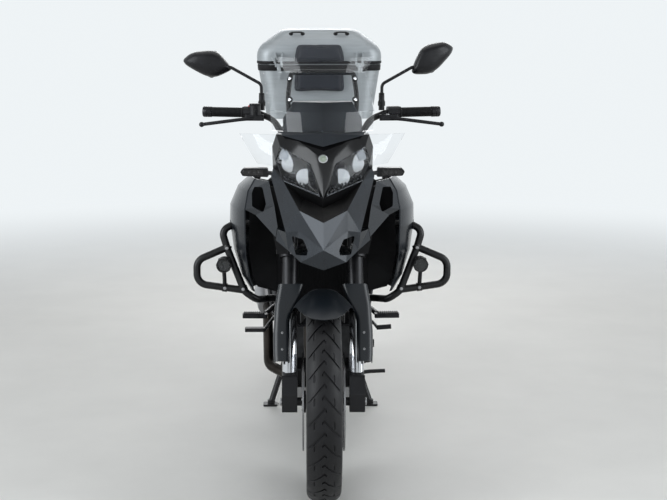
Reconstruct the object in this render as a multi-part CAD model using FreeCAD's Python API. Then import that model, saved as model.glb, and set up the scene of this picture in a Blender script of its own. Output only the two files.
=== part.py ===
import FreeCAD
import Part
import math
import os
from FreeCAD import Vector

# Adventure motorcycle with a top box, parked upright on its centre stand. Millimetres.
# X points to the rider's left, Y to the rear and Z up. The origin is on the floor under
# the middle of the machine: its places are written from the front axle at FRONT_Y, and
# the whole is moved by TO_MIDDLE when its length changes.
# Bodies: chassis, steering, two wheels, two stands, box lid.

# Wheels and chassis geometry
WHEELBASE = 1520.0
OVERALL_LENGTH = 2200.0
FRONT_Y = -770.7
FRONT_RIM_RADIUS = 241.3
FRONT_TYRE_WIDTH = 110.0
FRONT_TYRE_HEIGHT = 88.0
REAR_RIM_RADIUS = 215.9
REAR_TYRE_WIDTH = 150.0
REAR_TYRE_HEIGHT = 105.0
REAR_LIFT = 32.0
RAKE = 24.5
TRAIL = 105.0

# Fork, hubs and brakes
FORK_SPACING = 220.0
FORK_OUTER_RADIUS = 27.0
FORK_INNER_RADIUS = 24.0
FORK_TUBE_FROM = 300.0
FORK_TUBE_TO = 745.0
LOWER_CLAMP_AT = 500.0
UPPER_CLAMP_AT = 705.0
CLAMP_THICKNESS = 34.0
STEM_RADIUS = 18.0
HEADSTOCK_RADIUS = 31.0
AXLE_RADIUS = 10.0
AXLE_BORE_RADIUS = 7.0
AXLE_CLAMP_WIDTH = 50.0
FRONT_DISC_RADIUS = 160.0
REAR_DISC_RADIUS = 130.0
DISC_THICKNESS = 5.0
DISC_HOLES = 36
FRONT_DISC_X = 66.0
REAR_DISC_X = 98.0
SPOKE_RADIUS = 2.2
SPOKE_COUNT = 36

# Drive
CHAIN_X = 98.0
CHAIN_PITCH = 15.875
REAR_TEETH = 43
FRONT_TEETH = 15
FRONT_SPROCKET_Y = 150.0
FRONT_SPROCKET_Z = 330.0
ROLLER_RADIUS = 5.0
LINK_HEIGHT = 14.0
LINK_PLATE = 2.2
ROLLER_WIDTH = 8.0

# Swingarm and stands
SWING_PIVOT_Y = 215.0
SWING_PIVOT_Z = 335.0
ARM_INNER_X = 113.0
ARM_WIDTH = 34.0
SPOOL_AHEAD = 59.3
SPOOL_Z = 350.0
SPOOL_RADIUS = 4.0
SPOOL_DEPTH = 20.0
STAND_PIVOT_Y = 370.0
STAND_PIVOT_Z = 240.0
STAND_FOOT_Y = 319.0
STAND_FOOT_X = 200.0
SIDE_STAND_PIVOT = Vector(182, 60, 262)
SIDE_STAND_AXIS = Vector(0.951, 0, 0.31).normalize()
SIDE_STAND_PIN = 6.0

# Clearances
SEAT_GAP = 0.3
RUNNING_FIT = 0.05
STEERING_CLEARANCE = 7.0

# Frame: the engine cradle's and the seat rail's places (x, y, z) on the left
CRADLE_FRONT = (130, -340, 245)
CRADLE_REAR = (140, 120, 235)
CRADLE_RADIUS = 13.0
SEAT_RAIL = [(124, -100, 800), (135, 100, 808), (140, 420, 862), (112, 760, 925)]
SEAT_RAIL_RADIUS = 12.0
TAIL_BRACE_Y = 752.0
TAIL_BRACE_Z = 923.0
TAIL_BRACE_RADIUS = 9.0
SWING_BRACE_TOP = 366.0
SHOCK_TOP_Y = 306.0
SHOCK_TOP_Z = 634.0
SHOCK_BRACE_RADIUS = 10.0
NOSE_STAY_ALONG = 950.0
NOSE_STAY_AHEAD = 218.0

# Body panels and guards
SHROUD_BOSS_END = 252.0
CRASH_BAR_RADIUS = 12.5
PANEL = 4.0
SCREEN = 4.0

# Nose: corners (x, y, z) of its left half, the facets between them, and the right lamp's
# corners (x, z)
NOSE_FRONT = {
    "brow": (0, -706, 1190), "brow_side": (100, -686, 1190), "horn": (150, -642, 1190),
    "cheek_top": (163, -642, 1150), "cheek": (161, -648, 1082), "badge": (0, -772, 1120),
    "lamp_tip": (137, -690, 1155), "lamp_out": (152, -692, 1110), "lamp_corner": (128, -712, 1046),
    "lamp_low": (10, -792, 1006), "lamp_in": (38, -758, 1106), "bridge": (0, -808, 1003),
    "recess": (0, -738, 962), "recess_side": (62, -718, 988), "notch": (0, -862, 932),
    "blade_top": (168, -664, 1056), "blade_mid": (76, -802, 962), "blade_in": (78, -808, 898),
    "blade_out": (120, -770, 888), "ridge": (0, -888, 850), "tip": (0, -868, 783),
    "corner_top": (147, -722, 891), "corner": (153, -720, 855), "chin_out": (112, -776, 830),
    "chin": (72, -832, 802),
}
NOSE_FACETS = [
    ("brow", "brow_side", "badge"), ("brow_side", "lamp_in", "badge"), ("brow_side", "lamp_tip", "lamp_in"),
    ("brow_side", "horn", "lamp_tip"), ("horn", "cheek_top", "lamp_tip"),
    ("cheek_top", "lamp_out", "lamp_tip"), ("cheek_top", "cheek", "lamp_out"),
    ("cheek", "lamp_corner", "lamp_out"), ("lamp_tip", "lamp_out", "lamp_corner"),
    ("lamp_tip", "lamp_corner", "lamp_in"), ("lamp_in", "lamp_corner", "lamp_low"),
    ("badge", "lamp_in", "bridge"), ("lamp_in", "lamp_low", "bridge"), ("cheek", "blade_top", "lamp_corner"),
    ("bridge", "lamp_low", "recess"), ("lamp_low", "recess_side", "recess"),
    ("lamp_low", "lamp_corner", "recess_side"), ("lamp_corner", "blade_mid", "recess_side"),
    ("recess_side", "blade_mid", "recess"), ("recess", "blade_mid", "notch"),
    ("lamp_corner", "blade_top", "blade_mid"), ("blade_top", "blade_out", "blade_mid"),
    ("blade_mid", "blade_out", "blade_in"), ("blade_mid", "ridge", "notch"), ("blade_mid", "blade_in", "ridge"),
    ("blade_in", "chin", "ridge"), ("ridge", "chin", "tip"), ("blade_in", "chin_out", "chin"),
    ("blade_in", "blade_out", "chin_out"), ("blade_out", "corner_top", "chin_out"),
    ("corner_top", "corner", "chin_out"),
]
NOSE_MIDDLE_Z = 1000.0
NOSE_TOP_Z = 1190.0
NOSE_BACK_Y = -590.0
NOSE_BACK_LEAN = 0.27
LAMP_CORNERS = [(-137, 1154), (-151, 1109), (-128, 1049), (-11, 1009), (-39, 1105)]

# Top box
BOX_FRONT_Y = 622.0
BOX_DEPTH = 430.0
BOX_BOTTOM_Z = 1140.0
BOX_SPLIT_Z = 1365.0
BOX_TOP_Z = 1500.0
BOX_WALL = 4.0
BOX_HALF_WIDTH = 256.0
HINGE_Y = 590.0
HINGE_Z = 1362.0
HINGE_X = 165.0
PIN_RADIUS = 4.0
PAD_DEPTH = 32.0

# Worked out from the sizes above
FRONT_RADIUS = FRONT_RIM_RADIUS + FRONT_TYRE_HEIGHT
REAR_RADIUS = REAR_RIM_RADIUS + REAR_TYRE_HEIGHT
REAR_Y = FRONT_Y + WHEELBASE
REAR_END_Y = FRONT_Y - FRONT_RADIUS + OVERALL_LENGTH
TO_MIDDLE = Vector(0, FRONT_RADIUS - FRONT_Y - OVERALL_LENGTH / 2, 0)
FRONT_AXLE = Vector(0, FRONT_Y, FRONT_RADIUS)
REAR_AXLE = Vector(0, REAR_Y, REAR_RADIUS + REAR_LIFT)
STEER_UP = Vector(0, math.sin(math.radians(RAKE)), math.cos(math.radians(RAKE)))
STEER_AHEAD = Vector(0, -STEER_UP.z, STEER_UP.y)
STEER_GROUND = Vector(0, FRONT_Y - TRAIL, 0)
FORK_OFFSET = (FRONT_AXLE - STEER_GROUND).dot(STEER_AHEAD)
AXLE_ALONG_AXIS = (FRONT_AXLE - STEER_GROUND).dot(STEER_UP)
REAR_PITCH_RADIUS = CHAIN_PITCH / (2 * math.sin(math.pi / REAR_TEETH))
FRONT_PITCH_RADIUS = CHAIN_PITCH / (2 * math.sin(math.pi / FRONT_TEETH))
SILENCER_START = Vector(-212, 372, 400)
SILENCER_ALONG = Vector(-6, 400, 150).normalize()
X_AXIS = Vector(1, 0, 0)
Y_AXIS = Vector(0, 1, 0)
Z_AXIS = Vector(0, 0, 1)


def mirrored(shape):
    """The same shape on the other side of the machine."""
    return shape.mirror(Vector(0, 0, 0), X_AXIS)


def fused(shapes):
    """One solid from pieces that meet."""
    return shapes[0].multiFuse(shapes[1:]).removeSplitter()


def block(x_low, x_high, y_low, y_high, z_low, z_high):
    """Box between two corners."""
    return Part.makeBox(x_high - x_low, y_high - y_low, z_high - z_low, Vector(x_low, y_low, z_low))


def bar(start, end, radius):
    """Round bar between two points."""
    return Part.makeCylinder(radius, (end - start).Length, start, end - start)


def bent_path(points, bend):
    """Straight runs joined by tangent arcs, no larger than the runs allow."""
    edges = []
    here = points[0]
    for before, corner, after in zip(points, points[1:], points[2:]):
        arriving = (corner - before).normalize()
        leaving = (after - corner).normalize()
        half_turn = arriving.getAngle(leaving) / 2
        shorter = min((corner - before).Length, (after - corner).Length)
        radius = min(bend, 0.45 * shorter / math.tan(half_turn))
        cut = radius * math.tan(half_turn)
        start = corner - arriving * cut
        end = corner + leaving * cut
        inward = (leaving - arriving).normalize()
        middle = corner + inward * (radius / math.cos(half_turn) - radius)
        edges.append(Part.LineSegment(here, start).toShape())
        edges.append(Part.Arc(start, middle, end).toShape())
        here = end
    edges.append(Part.LineSegment(here, points[-1]).toShape())
    return Part.Wire(edges)


def rod(places, radius, bend=60.0):
    """Bent round tube through the given places."""
    points = [Vector(*place) for place in places]
    if len(points) == 2:
        return bar(points[0], points[1], radius)
    ring = Part.Wire(Part.makeCircle(radius, points[0], points[1] - points[0]))
    return bent_path(points, bend).makePipeShell([ring], True, False)


def outline(points, radius):
    """Closed flat outline with every corner rounded by an arc."""
    edges = []
    corners = []
    count = len(points)
    for index, corner in enumerate(points):
        to_before = (points[index - 1] - corner).normalize()
        to_after = (points[(index + 1) % count] - corner).normalize()
        half = to_before.getAngle(to_after) / 2
        inward = (to_before + to_after).normalize()
        back = radius / math.tan(half)
        middle = corner + inward * (radius / math.sin(half) - radius)
        corners.append((corner + to_before * back, middle, corner + to_after * back))
    for index, (start, middle, end) in enumerate(corners):
        edges.append(Part.Arc(start, middle, end).toShape())
        edges.append(Part.LineSegment(end, corners[(index + 1) % count][0]).toShape())
    return Part.Wire(edges)


def plate_x(places, x_low, x_high, radius=6.0):
    """Plate across X with an outline of (y, z) places."""
    points = [Vector(x_low, y, z) for y, z in places]
    return Part.Face(outline(points, radius)).extrude(X_AXIS * (x_high - x_low))


def plate_y(places, y_low, y_high, radius=6.0):
    """Plate across Y with an outline of (x, z) places."""
    points = [Vector(x, y_low, z) for x, z in places]
    return Part.Face(outline(points, radius)).extrude(Y_AXIS * (y_high - y_low))


def plate_z(places, z_low, z_high, radius=6.0):
    """Plate across Z with an outline of (x, y) places."""
    points = [Vector(x, y, z_low) for x, y in places]
    return Part.Face(outline(points, radius)).extrude(Z_AXIS * (z_high - z_low))


def loft(sections):
    """Solid with straight sides from one section to the next."""
    return Part.makeLoft(sections, True, True)


def spun(places, centre, angle=360.0, start=0.0):
    """Ring about the X line through centre, from a closed outline of (x, radius) places."""
    points = [centre + Vector(x, 0, radius) for x, radius in places]
    face = Part.Face(Part.makePolygon(points + points[:1]))
    if start:
        face.rotate(centre, X_AXIS, start)
    return face.revolve(centre, X_AXIS, angle)


def curved_sheet(slices, thickness):
    """Thin curved panel lofted from level slices: z, front (x, y), middle (x, y), rear (x, y)."""
    sections = []
    for z, front, middle, rear in slices:
        outer = [Vector(x, y, z) for x, y in (front, middle, rear)]
        along = (outer[2] - outer[0]).normalize()
        inward = Vector(along.y, -along.x, 0)
        if inward.dot(outer[1] - outer[0]) > 0:
            inward = inward * -1
        inner = [point + inward * thickness for point in outer]
        edges = [Part.Arc(*outer).toShape(), Part.LineSegment(outer[2], inner[2]).toShape()]
        edges.append(Part.Arc(*reversed(inner)).toShape())
        edges.append(Part.LineSegment(inner[0], outer[0]).toShape())
        sections.append(Part.Wire(edges))
    return loft(sections)


def faceted(front, triangles, behind):
    """Solid from a front of flat triangles to the points that behind gives for its own."""
    edges = {}
    for triangle in triangles:
        for a, b in zip(triangle, triangle[1:] + triangle[:1]):
            if (b, a) in edges:
                del edges[(b, a)]
            else:
                edges[(a, b)] = True
    back = {name: behind(point) for name, point in front.items()}
    loops = [(front[a], front[b], back[b], back[a]) for a, b in edges]
    loops += [tuple(front[name] for name in triangle) for triangle in triangles]
    loops += [tuple(back[name] for name in triangle) for triangle in triangles]
    faces = [Part.Face(Part.makePolygon(list(loop) + [loop[0]])) for loop in loops]
    return Part.Solid(Part.Shell(faces)).removeSplitter()


def faceted_sheet(front, triangles, thickness):
    """Panel of flat triangles, its back straight behind its front."""
    return faceted(front, triangles, lambda point: point + Y_AXIS * thickness)


def on_axis(x, along, ahead):
    """Place given by its side, its height along the steering axis and how far it leads it."""
    return STEER_GROUND + STEER_UP * along + STEER_AHEAD * ahead + X_AXIS * x


def fork_point(x, above_axle):
    """Place on a fork leg's centre line."""
    return on_axis(x, AXLE_ALONG_AXIS + above_axle, FORK_OFFSET)


def steering_room():
    """Space that the fork legs sweep from lock to lock."""
    reach = math.hypot(FORK_SPACING / 2, FORK_OFFSET) + FORK_OUTER_RADIUS + STEERING_CLEARANCE
    bottom = on_axis(0, AXLE_ALONG_AXIS + 150, 0)
    top = on_axis(0, AXLE_ALONG_AXIS + FORK_TUBE_TO + STEERING_CLEARANCE, 0)
    return bar(bottom, top, reach)


def tyre(centre, rim_radius, height, width, bead):
    """Tyre with a round crown, seated between the rim's flanges."""
    outer = rim_radius + height
    shoulder = rim_radius + height * 0.72
    widest = rim_radius + height * 0.45
    seat = rim_radius + SEAT_GAP

    def at(x, radius):
        return centre + Vector(x, 0, radius)

    edges = [
        Part.Arc(at(-width * 0.47, shoulder), at(0, outer), at(width * 0.47, shoulder)).toShape(),
        Part.Arc(at(width * 0.47, shoulder), at(width / 2, widest), at(bead, rim_radius + 16)).toShape(),
        Part.LineSegment(at(bead, rim_radius + 16), at(bead, seat)).toShape(),
        Part.LineSegment(at(bead, seat), at(-bead, seat)).toShape(),
        Part.LineSegment(at(-bead, seat), at(-bead, rim_radius + 16)).toShape(),
        Part.Arc(at(-bead, rim_radius + 16), at(-width / 2, widest), at(-width * 0.47, shoulder)).toShape(),
    ]
    return Part.Face(Part.Wire(edges)).revolve(centre, X_AXIS, 360)


def rim_profile(rim_radius, half):
    """Rim section: two flanges, two bead seats and a well."""
    side = [(half + 4, rim_radius + 13), (half, rim_radius + 13), (half, rim_radius)]
    side += [(half * 0.5, rim_radius), (half * 0.35, rim_radius - 15)]
    under = [(half * 0.35 + 2, rim_radius - 22), (half * 0.5 + 3, rim_radius - 7)]
    under += [(half + 4, rim_radius - 5)]
    left = [(-x, radius) for x, radius in side]
    right = [(x, radius) for x, radius in reversed(side)]
    below = [(x, radius) for x, radius in reversed(under)] + [(-x, radius) for x, radius in under]
    return left + right + below


def spokes(centre, hub_x, hub_radius, rim_radius, rim_x):
    """Crossed wire spokes from the hub's two flanges to the rim's well."""
    wires = []
    step = 2 * math.pi / SPOKE_COUNT
    for index in range(SPOKE_COUNT):
        side = 1 if index % 2 else -1
        lean = 1 if (index // 2) % 2 else -1
        rim_angle = index * step
        hub_angle = rim_angle + lean * math.radians(52)
        start = Vector(side * hub_x, hub_radius * math.sin(hub_angle), hub_radius * math.cos(hub_angle))
        end = Vector(side * rim_x, rim_radius * math.sin(rim_angle), rim_radius * math.cos(rim_angle))
        wires.append(bar(centre + start, centre + end, SPOKE_RADIUS))
    return wires


def front_rim():
    """Spoked 19 inch wheel without its tyre."""
    bore = AXLE_RADIUS + RUNNING_FIT
    hub_end = FRONT_DISC_X - DISC_THICKNESS / 2 - SEAT_GAP
    hub = spun([
        (-hub_end, bore), (-hub_end, 36), (-hub_end + 6, 36), (-hub_end + 6, 24),
        (-40, 24), (-40, 44), (-34, 44), (-30, 24), (30, 24), (34, 44), (40, 44), (40, 24),
        (hub_end - 6, 24), (hub_end - 6, 36), (hub_end, 36), (hub_end, bore)], FRONT_AXLE)
    rim = spun(rim_profile(FRONT_RIM_RADIUS, 32), FRONT_AXLE)
    return fused([rim, hub] + spokes(FRONT_AXLE, 37, 40, FRONT_RIM_RADIUS - 18, 8))


def front_tyre():
    """110/80-19 tyre."""
    return tyre(FRONT_AXLE, FRONT_RIM_RADIUS, FRONT_TYRE_HEIGHT, FRONT_TYRE_WIDTH, 32 - SEAT_GAP)


def brake_disc(centre, x, radius, hub_radius, bore):
    """Brake disc with a pierced ring on a spider of five arms."""
    low = x - DISC_THICKNESS / 2
    ring = spun([(low, radius * 0.72), (low, radius), (low + DISC_THICKNESS, radius),
                 (low + DISC_THICKNESS, radius * 0.72)], centre)
    hub = spun([(low, bore), (low, hub_radius), (low + DISC_THICKNESS, hub_radius),
                (low + DISC_THICKNESS, bore)], centre)
    arms = []
    for index in range(5):
        arm = block(low, low + DISC_THICKNESS, centre.y - 9, centre.y + 9,
                    centre.z + hub_radius - 4, centre.z + radius * 0.74)
        arm.rotate(centre, X_AXIS, index * 72)
        arms.append(arm)
    holes = []
    for index in range(DISC_HOLES):
        share = 0.80 + 0.055 * (index % 3)
        hole = Part.makeCylinder(4, 3 * DISC_THICKNESS, Vector(low - DISC_THICKNESS, centre.y,
                                                               centre.z + radius * share), X_AXIS)
        hole.rotate(centre, X_AXIS, 360 * index / DISC_HOLES)
        holes.append(hole)
    return fused([ring, hub] + arms).cut(Part.makeCompound(holes))


def front_discs():
    """Twin front discs."""
    disc = brake_disc(FRONT_AXLE, FRONT_DISC_X, FRONT_DISC_RADIUS, 36, AXLE_RADIUS + 6)
    return [disc, mirrored(disc)]


def rear_rim():
    """Spoked 17 inch wheel without its tyre."""
    bore = AXLE_RADIUS + RUNNING_FIT
    hub_end = REAR_DISC_X - DISC_THICKNESS / 2 - SEAT_GAP
    left_end = CHAIN_X - 3 - SEAT_GAP
    hub = spun([
        (-hub_end, bore), (-hub_end, 40), (-hub_end + 8, 40), (-hub_end + 8, 28),
        (-46, 28), (-46, 52), (-40, 52), (-36, 28), (36, 28), (40, 52), (46, 52), (46, 28),
        (left_end - 12, 28), (left_end - 12, 50), (left_end, 50), (left_end, bore)], REAR_AXLE)
    rim = spun(rim_profile(REAR_RIM_RADIUS, 54), REAR_AXLE)
    return fused([rim, hub] + spokes(REAR_AXLE, 43, 48, REAR_RIM_RADIUS - 18, 14))


def rear_tyre():
    """150/70-17 tyre."""
    return tyre(REAR_AXLE, REAR_RIM_RADIUS, REAR_TYRE_HEIGHT, REAR_TYRE_WIDTH, 54 - SEAT_GAP)


def rear_disc():
    """Single rear disc on the right."""
    return brake_disc(REAR_AXLE, -REAR_DISC_X, REAR_DISC_RADIUS, 40, AXLE_RADIUS + 6)


def toothed_wheel(centre, teeth, pitch_radius, x_low, x_high, bore):
    """Sprocket whose teeth lie under the chain's rollers."""
    tip = pitch_radius - ROLLER_RADIUS - 0.6
    root = tip - 7
    points = []
    for index in range(teeth):
        for share, radius in ((-0.3, root), (-0.12, tip), (0.12, tip), (0.3, root)):
            angle = 2 * math.pi * (index + share) / teeth
            points.append(Vector(x_low, centre.y + radius * math.sin(angle),
                                 centre.z + radius * math.cos(angle)))
    face = Part.Face(Part.makePolygon(points + points[:1]))
    wheel = face.extrude(X_AXIS * (x_high - x_low))
    thickness = x_high - x_low
    mouth = Vector(x_low - thickness, centre.y, centre.z)
    return wheel.cut(Part.makeCylinder(bore, 4 * thickness, mouth, X_AXIS))


def rear_sprocket():
    """Rear sprocket bolted to the hub's left end, with six lightening holes."""
    low = CHAIN_X - 3
    wheel = toothed_wheel(REAR_AXLE, REAR_TEETH, REAR_PITCH_RADIUS, low, CHAIN_X + 3, AXLE_RADIUS + 6)
    for index in range(6):
        hole = Part.makeCylinder(14, 12, Vector(low - 3, REAR_AXLE.y, REAR_AXLE.z + 74), X_AXIS)
        hole.rotate(REAR_AXLE, X_AXIS, index * 60 + 30)
        wheel = wheel.cut(hole)
    return wheel


def chain_line(offset):
    """Closed belt line round both sprockets at an offset from the pitch line."""
    front = Vector(CHAIN_X, FRONT_SPROCKET_Y, FRONT_SPROCKET_Z)
    rear = Vector(CHAIN_X, REAR_AXLE.y, REAR_AXLE.z)
    small = FRONT_PITCH_RADIUS + offset
    large = REAR_PITCH_RADIUS + offset
    gap = (rear - front).Length
    along = (rear - front).normalize()
    across = Vector(0, -along.z, along.y)
    lean = math.asin((large - small) / gap)
    up = across * math.cos(lean) - along * math.sin(lean)
    down = across * -math.cos(lean) - along * math.sin(lean)
    top = [front + up * small, rear + up * large]
    bottom = [front + down * small, rear + down * large]
    return Part.Wire([
        Part.LineSegment(top[0], top[1]).toShape(),
        Part.Arc(top[1], rear + along * large, bottom[1]).toShape(),
        Part.LineSegment(bottom[1], bottom[0]).toShape(),
        Part.Arc(bottom[0], front - along * small, top[0]).toShape()])


def chain():
    """Drive chain: a band of rollers carrying outer plates two pitches apart."""
    outer = Part.Face(chain_line(ROLLER_RADIUS)).extrude(X_AXIS * ROLLER_WIDTH)
    inner = Part.Face(chain_line(-ROLLER_RADIUS)).extrude(X_AXIS * ROLLER_WIDTH)
    band = outer.cut(inner)
    band.translate(X_AXIS * (-ROLLER_WIDTH / 2))
    line = chain_line(0)
    pairs = round(line.Length / CHAIN_PITCH / 2)
    step = line.Length / pairs
    places = line.discretize(pairs * 2 + 1)
    half = LINK_HEIGHT / 2
    plates = []
    for index in range(pairs):
        start = places[2 * index]
        end = places[2 * index + 1]
        along = (end - start).normalize()
        across = Vector(0, -along.z, along.y)
        nose = along * (step * 0.13)
        points = [start - nose + across * half * 0.5, start + across * half, end + across * half,
                  end + nose + across * half * 0.5, end + nose - across * half * 0.5,
                  end - across * half, start - across * half, start - nose - across * half * 0.5]
        face = Part.Face(Part.makePolygon(points + points[:1]))
        for side in (-1, 1):
            shift = side * (ROLLER_WIDTH / 2) - (LINK_PLATE if side < 0 else 0)
            solid = face.extrude(X_AXIS * LINK_PLATE)
            solid.translate(X_AXIS * shift)
            plates.append(solid)
    return band.multiFuse(plates)


def main_frame():
    """Tubular trellis frame with its headstock, pivot plates and seat rails."""
    low = on_axis(0, AXLE_ALONG_AXIS + LOWER_CLAMP_AT + CLAMP_THICKNESS / 2 + 1, 0)
    high = on_axis(0, AXLE_ALONG_AXIS + UPPER_CLAMP_AT - CLAMP_THICKNESS / 2 - 1, 0)
    headstock = bar(low, high, HEADSTOCK_RADIUS)
    side = [
        rod([(20, -448, 900), (95, -330, 862), (128, -60, 794), (158, 190, 560), (158, 215, 480)], 14),
        rod([(20, -470, 850), (110, -350, 800), (145, -200, 760), (152, 40, 560), (158, 170, 420)], 14),
        rod([(20, -478, 840), (90, -392, 790), (125, -372, 740), (130, -372, 330), CRADLE_FRONT,
             CRADLE_REAR, (158, 200, 290)], CRADLE_RADIUS, 80),
        seat_rail(SEAT_RAIL_RADIUS),
        rod([(158, 215, 470), (150, 300, 620), (138, 480, 866)], 11, 80),
        rod([(146, -200, 768), (118, -130, 812)], 9),
        rod([(152, 40, 560), (140, 20, 735)], 9),
        plate_x([(150, 300), (175, 250), (250, 225), (352, 215), (392, 228), (392, 254), (352, 262),
                 (285, 300), (272, 430), (250, 520), (180, 560), (160, 470)], 152, 164, 8),
    ]
    plates = [mirrored(piece) for piece in side]
    brace = rod([(-138, 480, 868), (138, 480, 868)], 10)
    kick_boss = bar(SIDE_STAND_PIVOT - SIDE_STAND_AXIS * 40,
                    SIDE_STAND_PIVOT - SIDE_STAND_AXIS * (8 + SEAT_GAP), 15)
    kick_pin = bar(SIDE_STAND_PIVOT - SIDE_STAND_AXIS * 20, SIDE_STAND_PIVOT + SIDE_STAND_AXIS * 16,
                   SIDE_STAND_PIN)
    lower_brace = rod([(-136, 60, 238), (136, 60, 238)], 9)
    tail_brace = bar(Vector(-112, TAIL_BRACE_Y, TAIL_BRACE_Z), Vector(112, TAIL_BRACE_Y, TAIL_BRACE_Z),
                     TAIL_BRACE_RADIUS)
    shock_brace = bar(Vector(-148, SHOCK_TOP_Y, SHOCK_TOP_Z), Vector(148, SHOCK_TOP_Y, SHOCK_TOP_Z),
                      SHOCK_BRACE_RADIUS)
    stay_end = on_axis(0, NOSE_STAY_ALONG, NOSE_STAY_AHEAD)
    stay = bar(on_axis(0, NOSE_STAY_ALONG, 20), stay_end, 11)
    stay_cross = bar(stay_end - X_AXIS * 180, stay_end + X_AXIS * 180, 9).common(nose_cavity(SEAT_GAP))
    frame = fused([headstock] + side + plates + [brace, lower_brace, tail_brace, shock_brace, stay,
                                                 stay_cross, kick_boss, kick_pin])
    bore = bar(low - STEER_UP * 10, high + STEER_UP * 10, STEM_RADIUS + RUNNING_FIT)
    pivot = bar(Vector(-170, SWING_PIVOT_Y, SWING_PIVOT_Z), Vector(170, SWING_PIVOT_Y, SWING_PIVOT_Z),
                10 + SEAT_GAP)
    stand = bar(Vector(-170, STAND_PIVOT_Y, STAND_PIVOT_Z), Vector(170, STAND_PIVOT_Y, STAND_PIVOT_Z),
                8 + RUNNING_FIT)
    return frame.cut(bore).cut(pivot).cut(stand)


def cylinder_head():
    """Head of the engine, whose front face takes the exhaust flanges."""
    return plate_x([(-336, 640), (-118, 640), (-134, 731), (-350, 731)], -118, 118, 10)


def engine():
    """Parallel twin: crankcase, cylinder block, head, covers and the output sprocket."""
    crankcase = plate_x([(-270, 290), (-230, 266), (60, 266), (75, 300), (75, 470), (40, 500),
                         (-260, 505), (-290, 470), (-290, 330)], -112, 112, 18)
    gearbox = plate_x([(40, 280), (190, 285), (196, 440), (150, 490), (40, 500)], -112, 80, 14)
    cylinders = plate_x([(-300, 490), (-100, 490), (-131, 645), (-331, 645)], -110, 110, 10)
    cam_cover = plate_x([(-340, 725), (-146, 725), (-160, 768), (-340, 768)], -106, 106, 8)
    generator = Part.makeCylinder(78, 40, Vector(108, -150, 378), X_AXIS)
    clutch = Part.makeCylinder(92, 46, Vector(-154, -20, 385), X_AXIS)
    side_cover = Part.makeCylinder(60, 36, Vector(-146, -180, 370), X_AXIS)
    oil_filter = Part.makeCylinder(38, 60, Vector(0, -280, 360), Y_AXIS * -1)
    sprocket = toothed_wheel(Vector(0, FRONT_SPROCKET_Y, FRONT_SPROCKET_Z), FRONT_TEETH,
                             FRONT_PITCH_RADIUS, CHAIN_X - 3, CHAIN_X + 3, 4)
    shaft = Part.makeCylinder(16, 30, Vector(78, FRONT_SPROCKET_Y, FRONT_SPROCKET_Z), X_AXIS)
    fins = [block(-118, 118, -322 + 0.21 * (520 - z), -105 - 0.21 * (z - 500), z, z + 4)
            for z in (530, 555, 580, 605)]
    return fused([crankcase, gearbox, cylinders, cylinder_head(), cam_cover, generator, clutch, side_cover,
                  oil_filter, sprocket, shaft] + fins)


def radiator():
    """Radiator core in its frame, ahead of the frame's down tubes."""
    core = plate_y([(-138, 505), (138, 505), (138, 770), (-138, 770)], -440, -404, 10)
    tanks = [block(x, x + 24, -438, -396, 515, 760) for x in (-160, 136)]
    fan_ring = Part.makeCylinder(72, 14, Vector(0, -405, 640), Y_AXIS)
    down_tube_front = -372 - CRADLE_RADIUS - SEAT_GAP
    lugs = [bar(Vector(x, -420, z), Vector(x, down_tube_front, z), 8) for x in (-130, 130) for z in (560, 690)]
    places = {"top": (166, -470, 880), "out_top": (246, -520, 880), "out_mid": (250, -505, 780),
              "out_low": (238, -488, 690), "foot": (222, -472, 652), "in_top": (157, -441, 758),
              "in_low": (157, -441, 628), "high_in": (172, -455, 1015), "high_mid": (222, -478, 1028),
              "high_out": (249, -500, 985)}
    corners = {name: Vector(*place) for name, place in places.items()}
    duct = faceted_sheet(corners, [
        ("top", "out_top", "out_mid"), ("top", "out_mid", "in_top"), ("in_top", "out_mid", "out_low"),
        ("in_top", "out_low", "in_low"), ("in_low", "out_low", "foot"), ("high_in", "out_top", "top"),
        ("high_in", "high_out", "out_top"), ("high_in", "high_mid", "high_out")], 5)
    return fused([core, fan_ring, duct, mirrored(duct)] + tanks + lugs)


def fuel_tank():
    """Tank: widest at its shoulders, waisted where the knees grip."""
    table = [
        # y, half width low, half width shoulder, half width top, bottom z, shoulder z, top z
        (-328, 120, 150, 70, 877, 985, 1040),
        (-250, 140, 200, 90, 857, 985, 1078),
        (-130, 140, 190, 85, 827, 970, 1072),
        (-30, 120, 135, 70, 822, 940, 1010),
        (30, 100, 105, 60, 822, 900, 945),
    ]
    sections = []
    for y, low, shoulder, top, z_low, z_mid, z_top in table:
        points = [Vector(x, y, z) for x, z in (
            (-low, z_low), (low, z_low), (shoulder, z_mid), (top, z_top), (-top, z_top), (-shoulder, z_mid))]
        sections.append(outline(points, 18))
    cap = Part.makeCylinder(38, 30, Vector(0, -190, 1058), Z_AXIS)
    return fused([loft(sections), cap])


def cushion(table, radius):
    """Cushion lofted from cross sections: y, half width low, half width top, bottom z, top z."""
    sections = []
    for y, low, top, z_low, z_top in table:
        points = [Vector(x, y, z) for x, z in ((-low, z_low), (low, z_low), (top, z_top), (-top, z_top))]
        sections.append(outline(points, radius))
    return loft(sections)


def seat_rail(radius):
    """Left upper tube of the rear frame, which carries the seats."""
    return rod(SEAT_RAIL, radius, 90)


def rider_seat():
    """Rider's saddle, narrow between the knees, resting on the seat rails."""
    saddle = cushion([(36, 95, 82, 818, 914), (110, 120, 105, 820, 878), (240, 160, 146, 840, 872),
                      (330, 164, 148, 856, 905)], 13)
    rail = seat_rail(SEAT_RAIL_RADIUS + SEAT_GAP)
    return saddle.cut(rail).cut(mirrored(rail))


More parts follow.
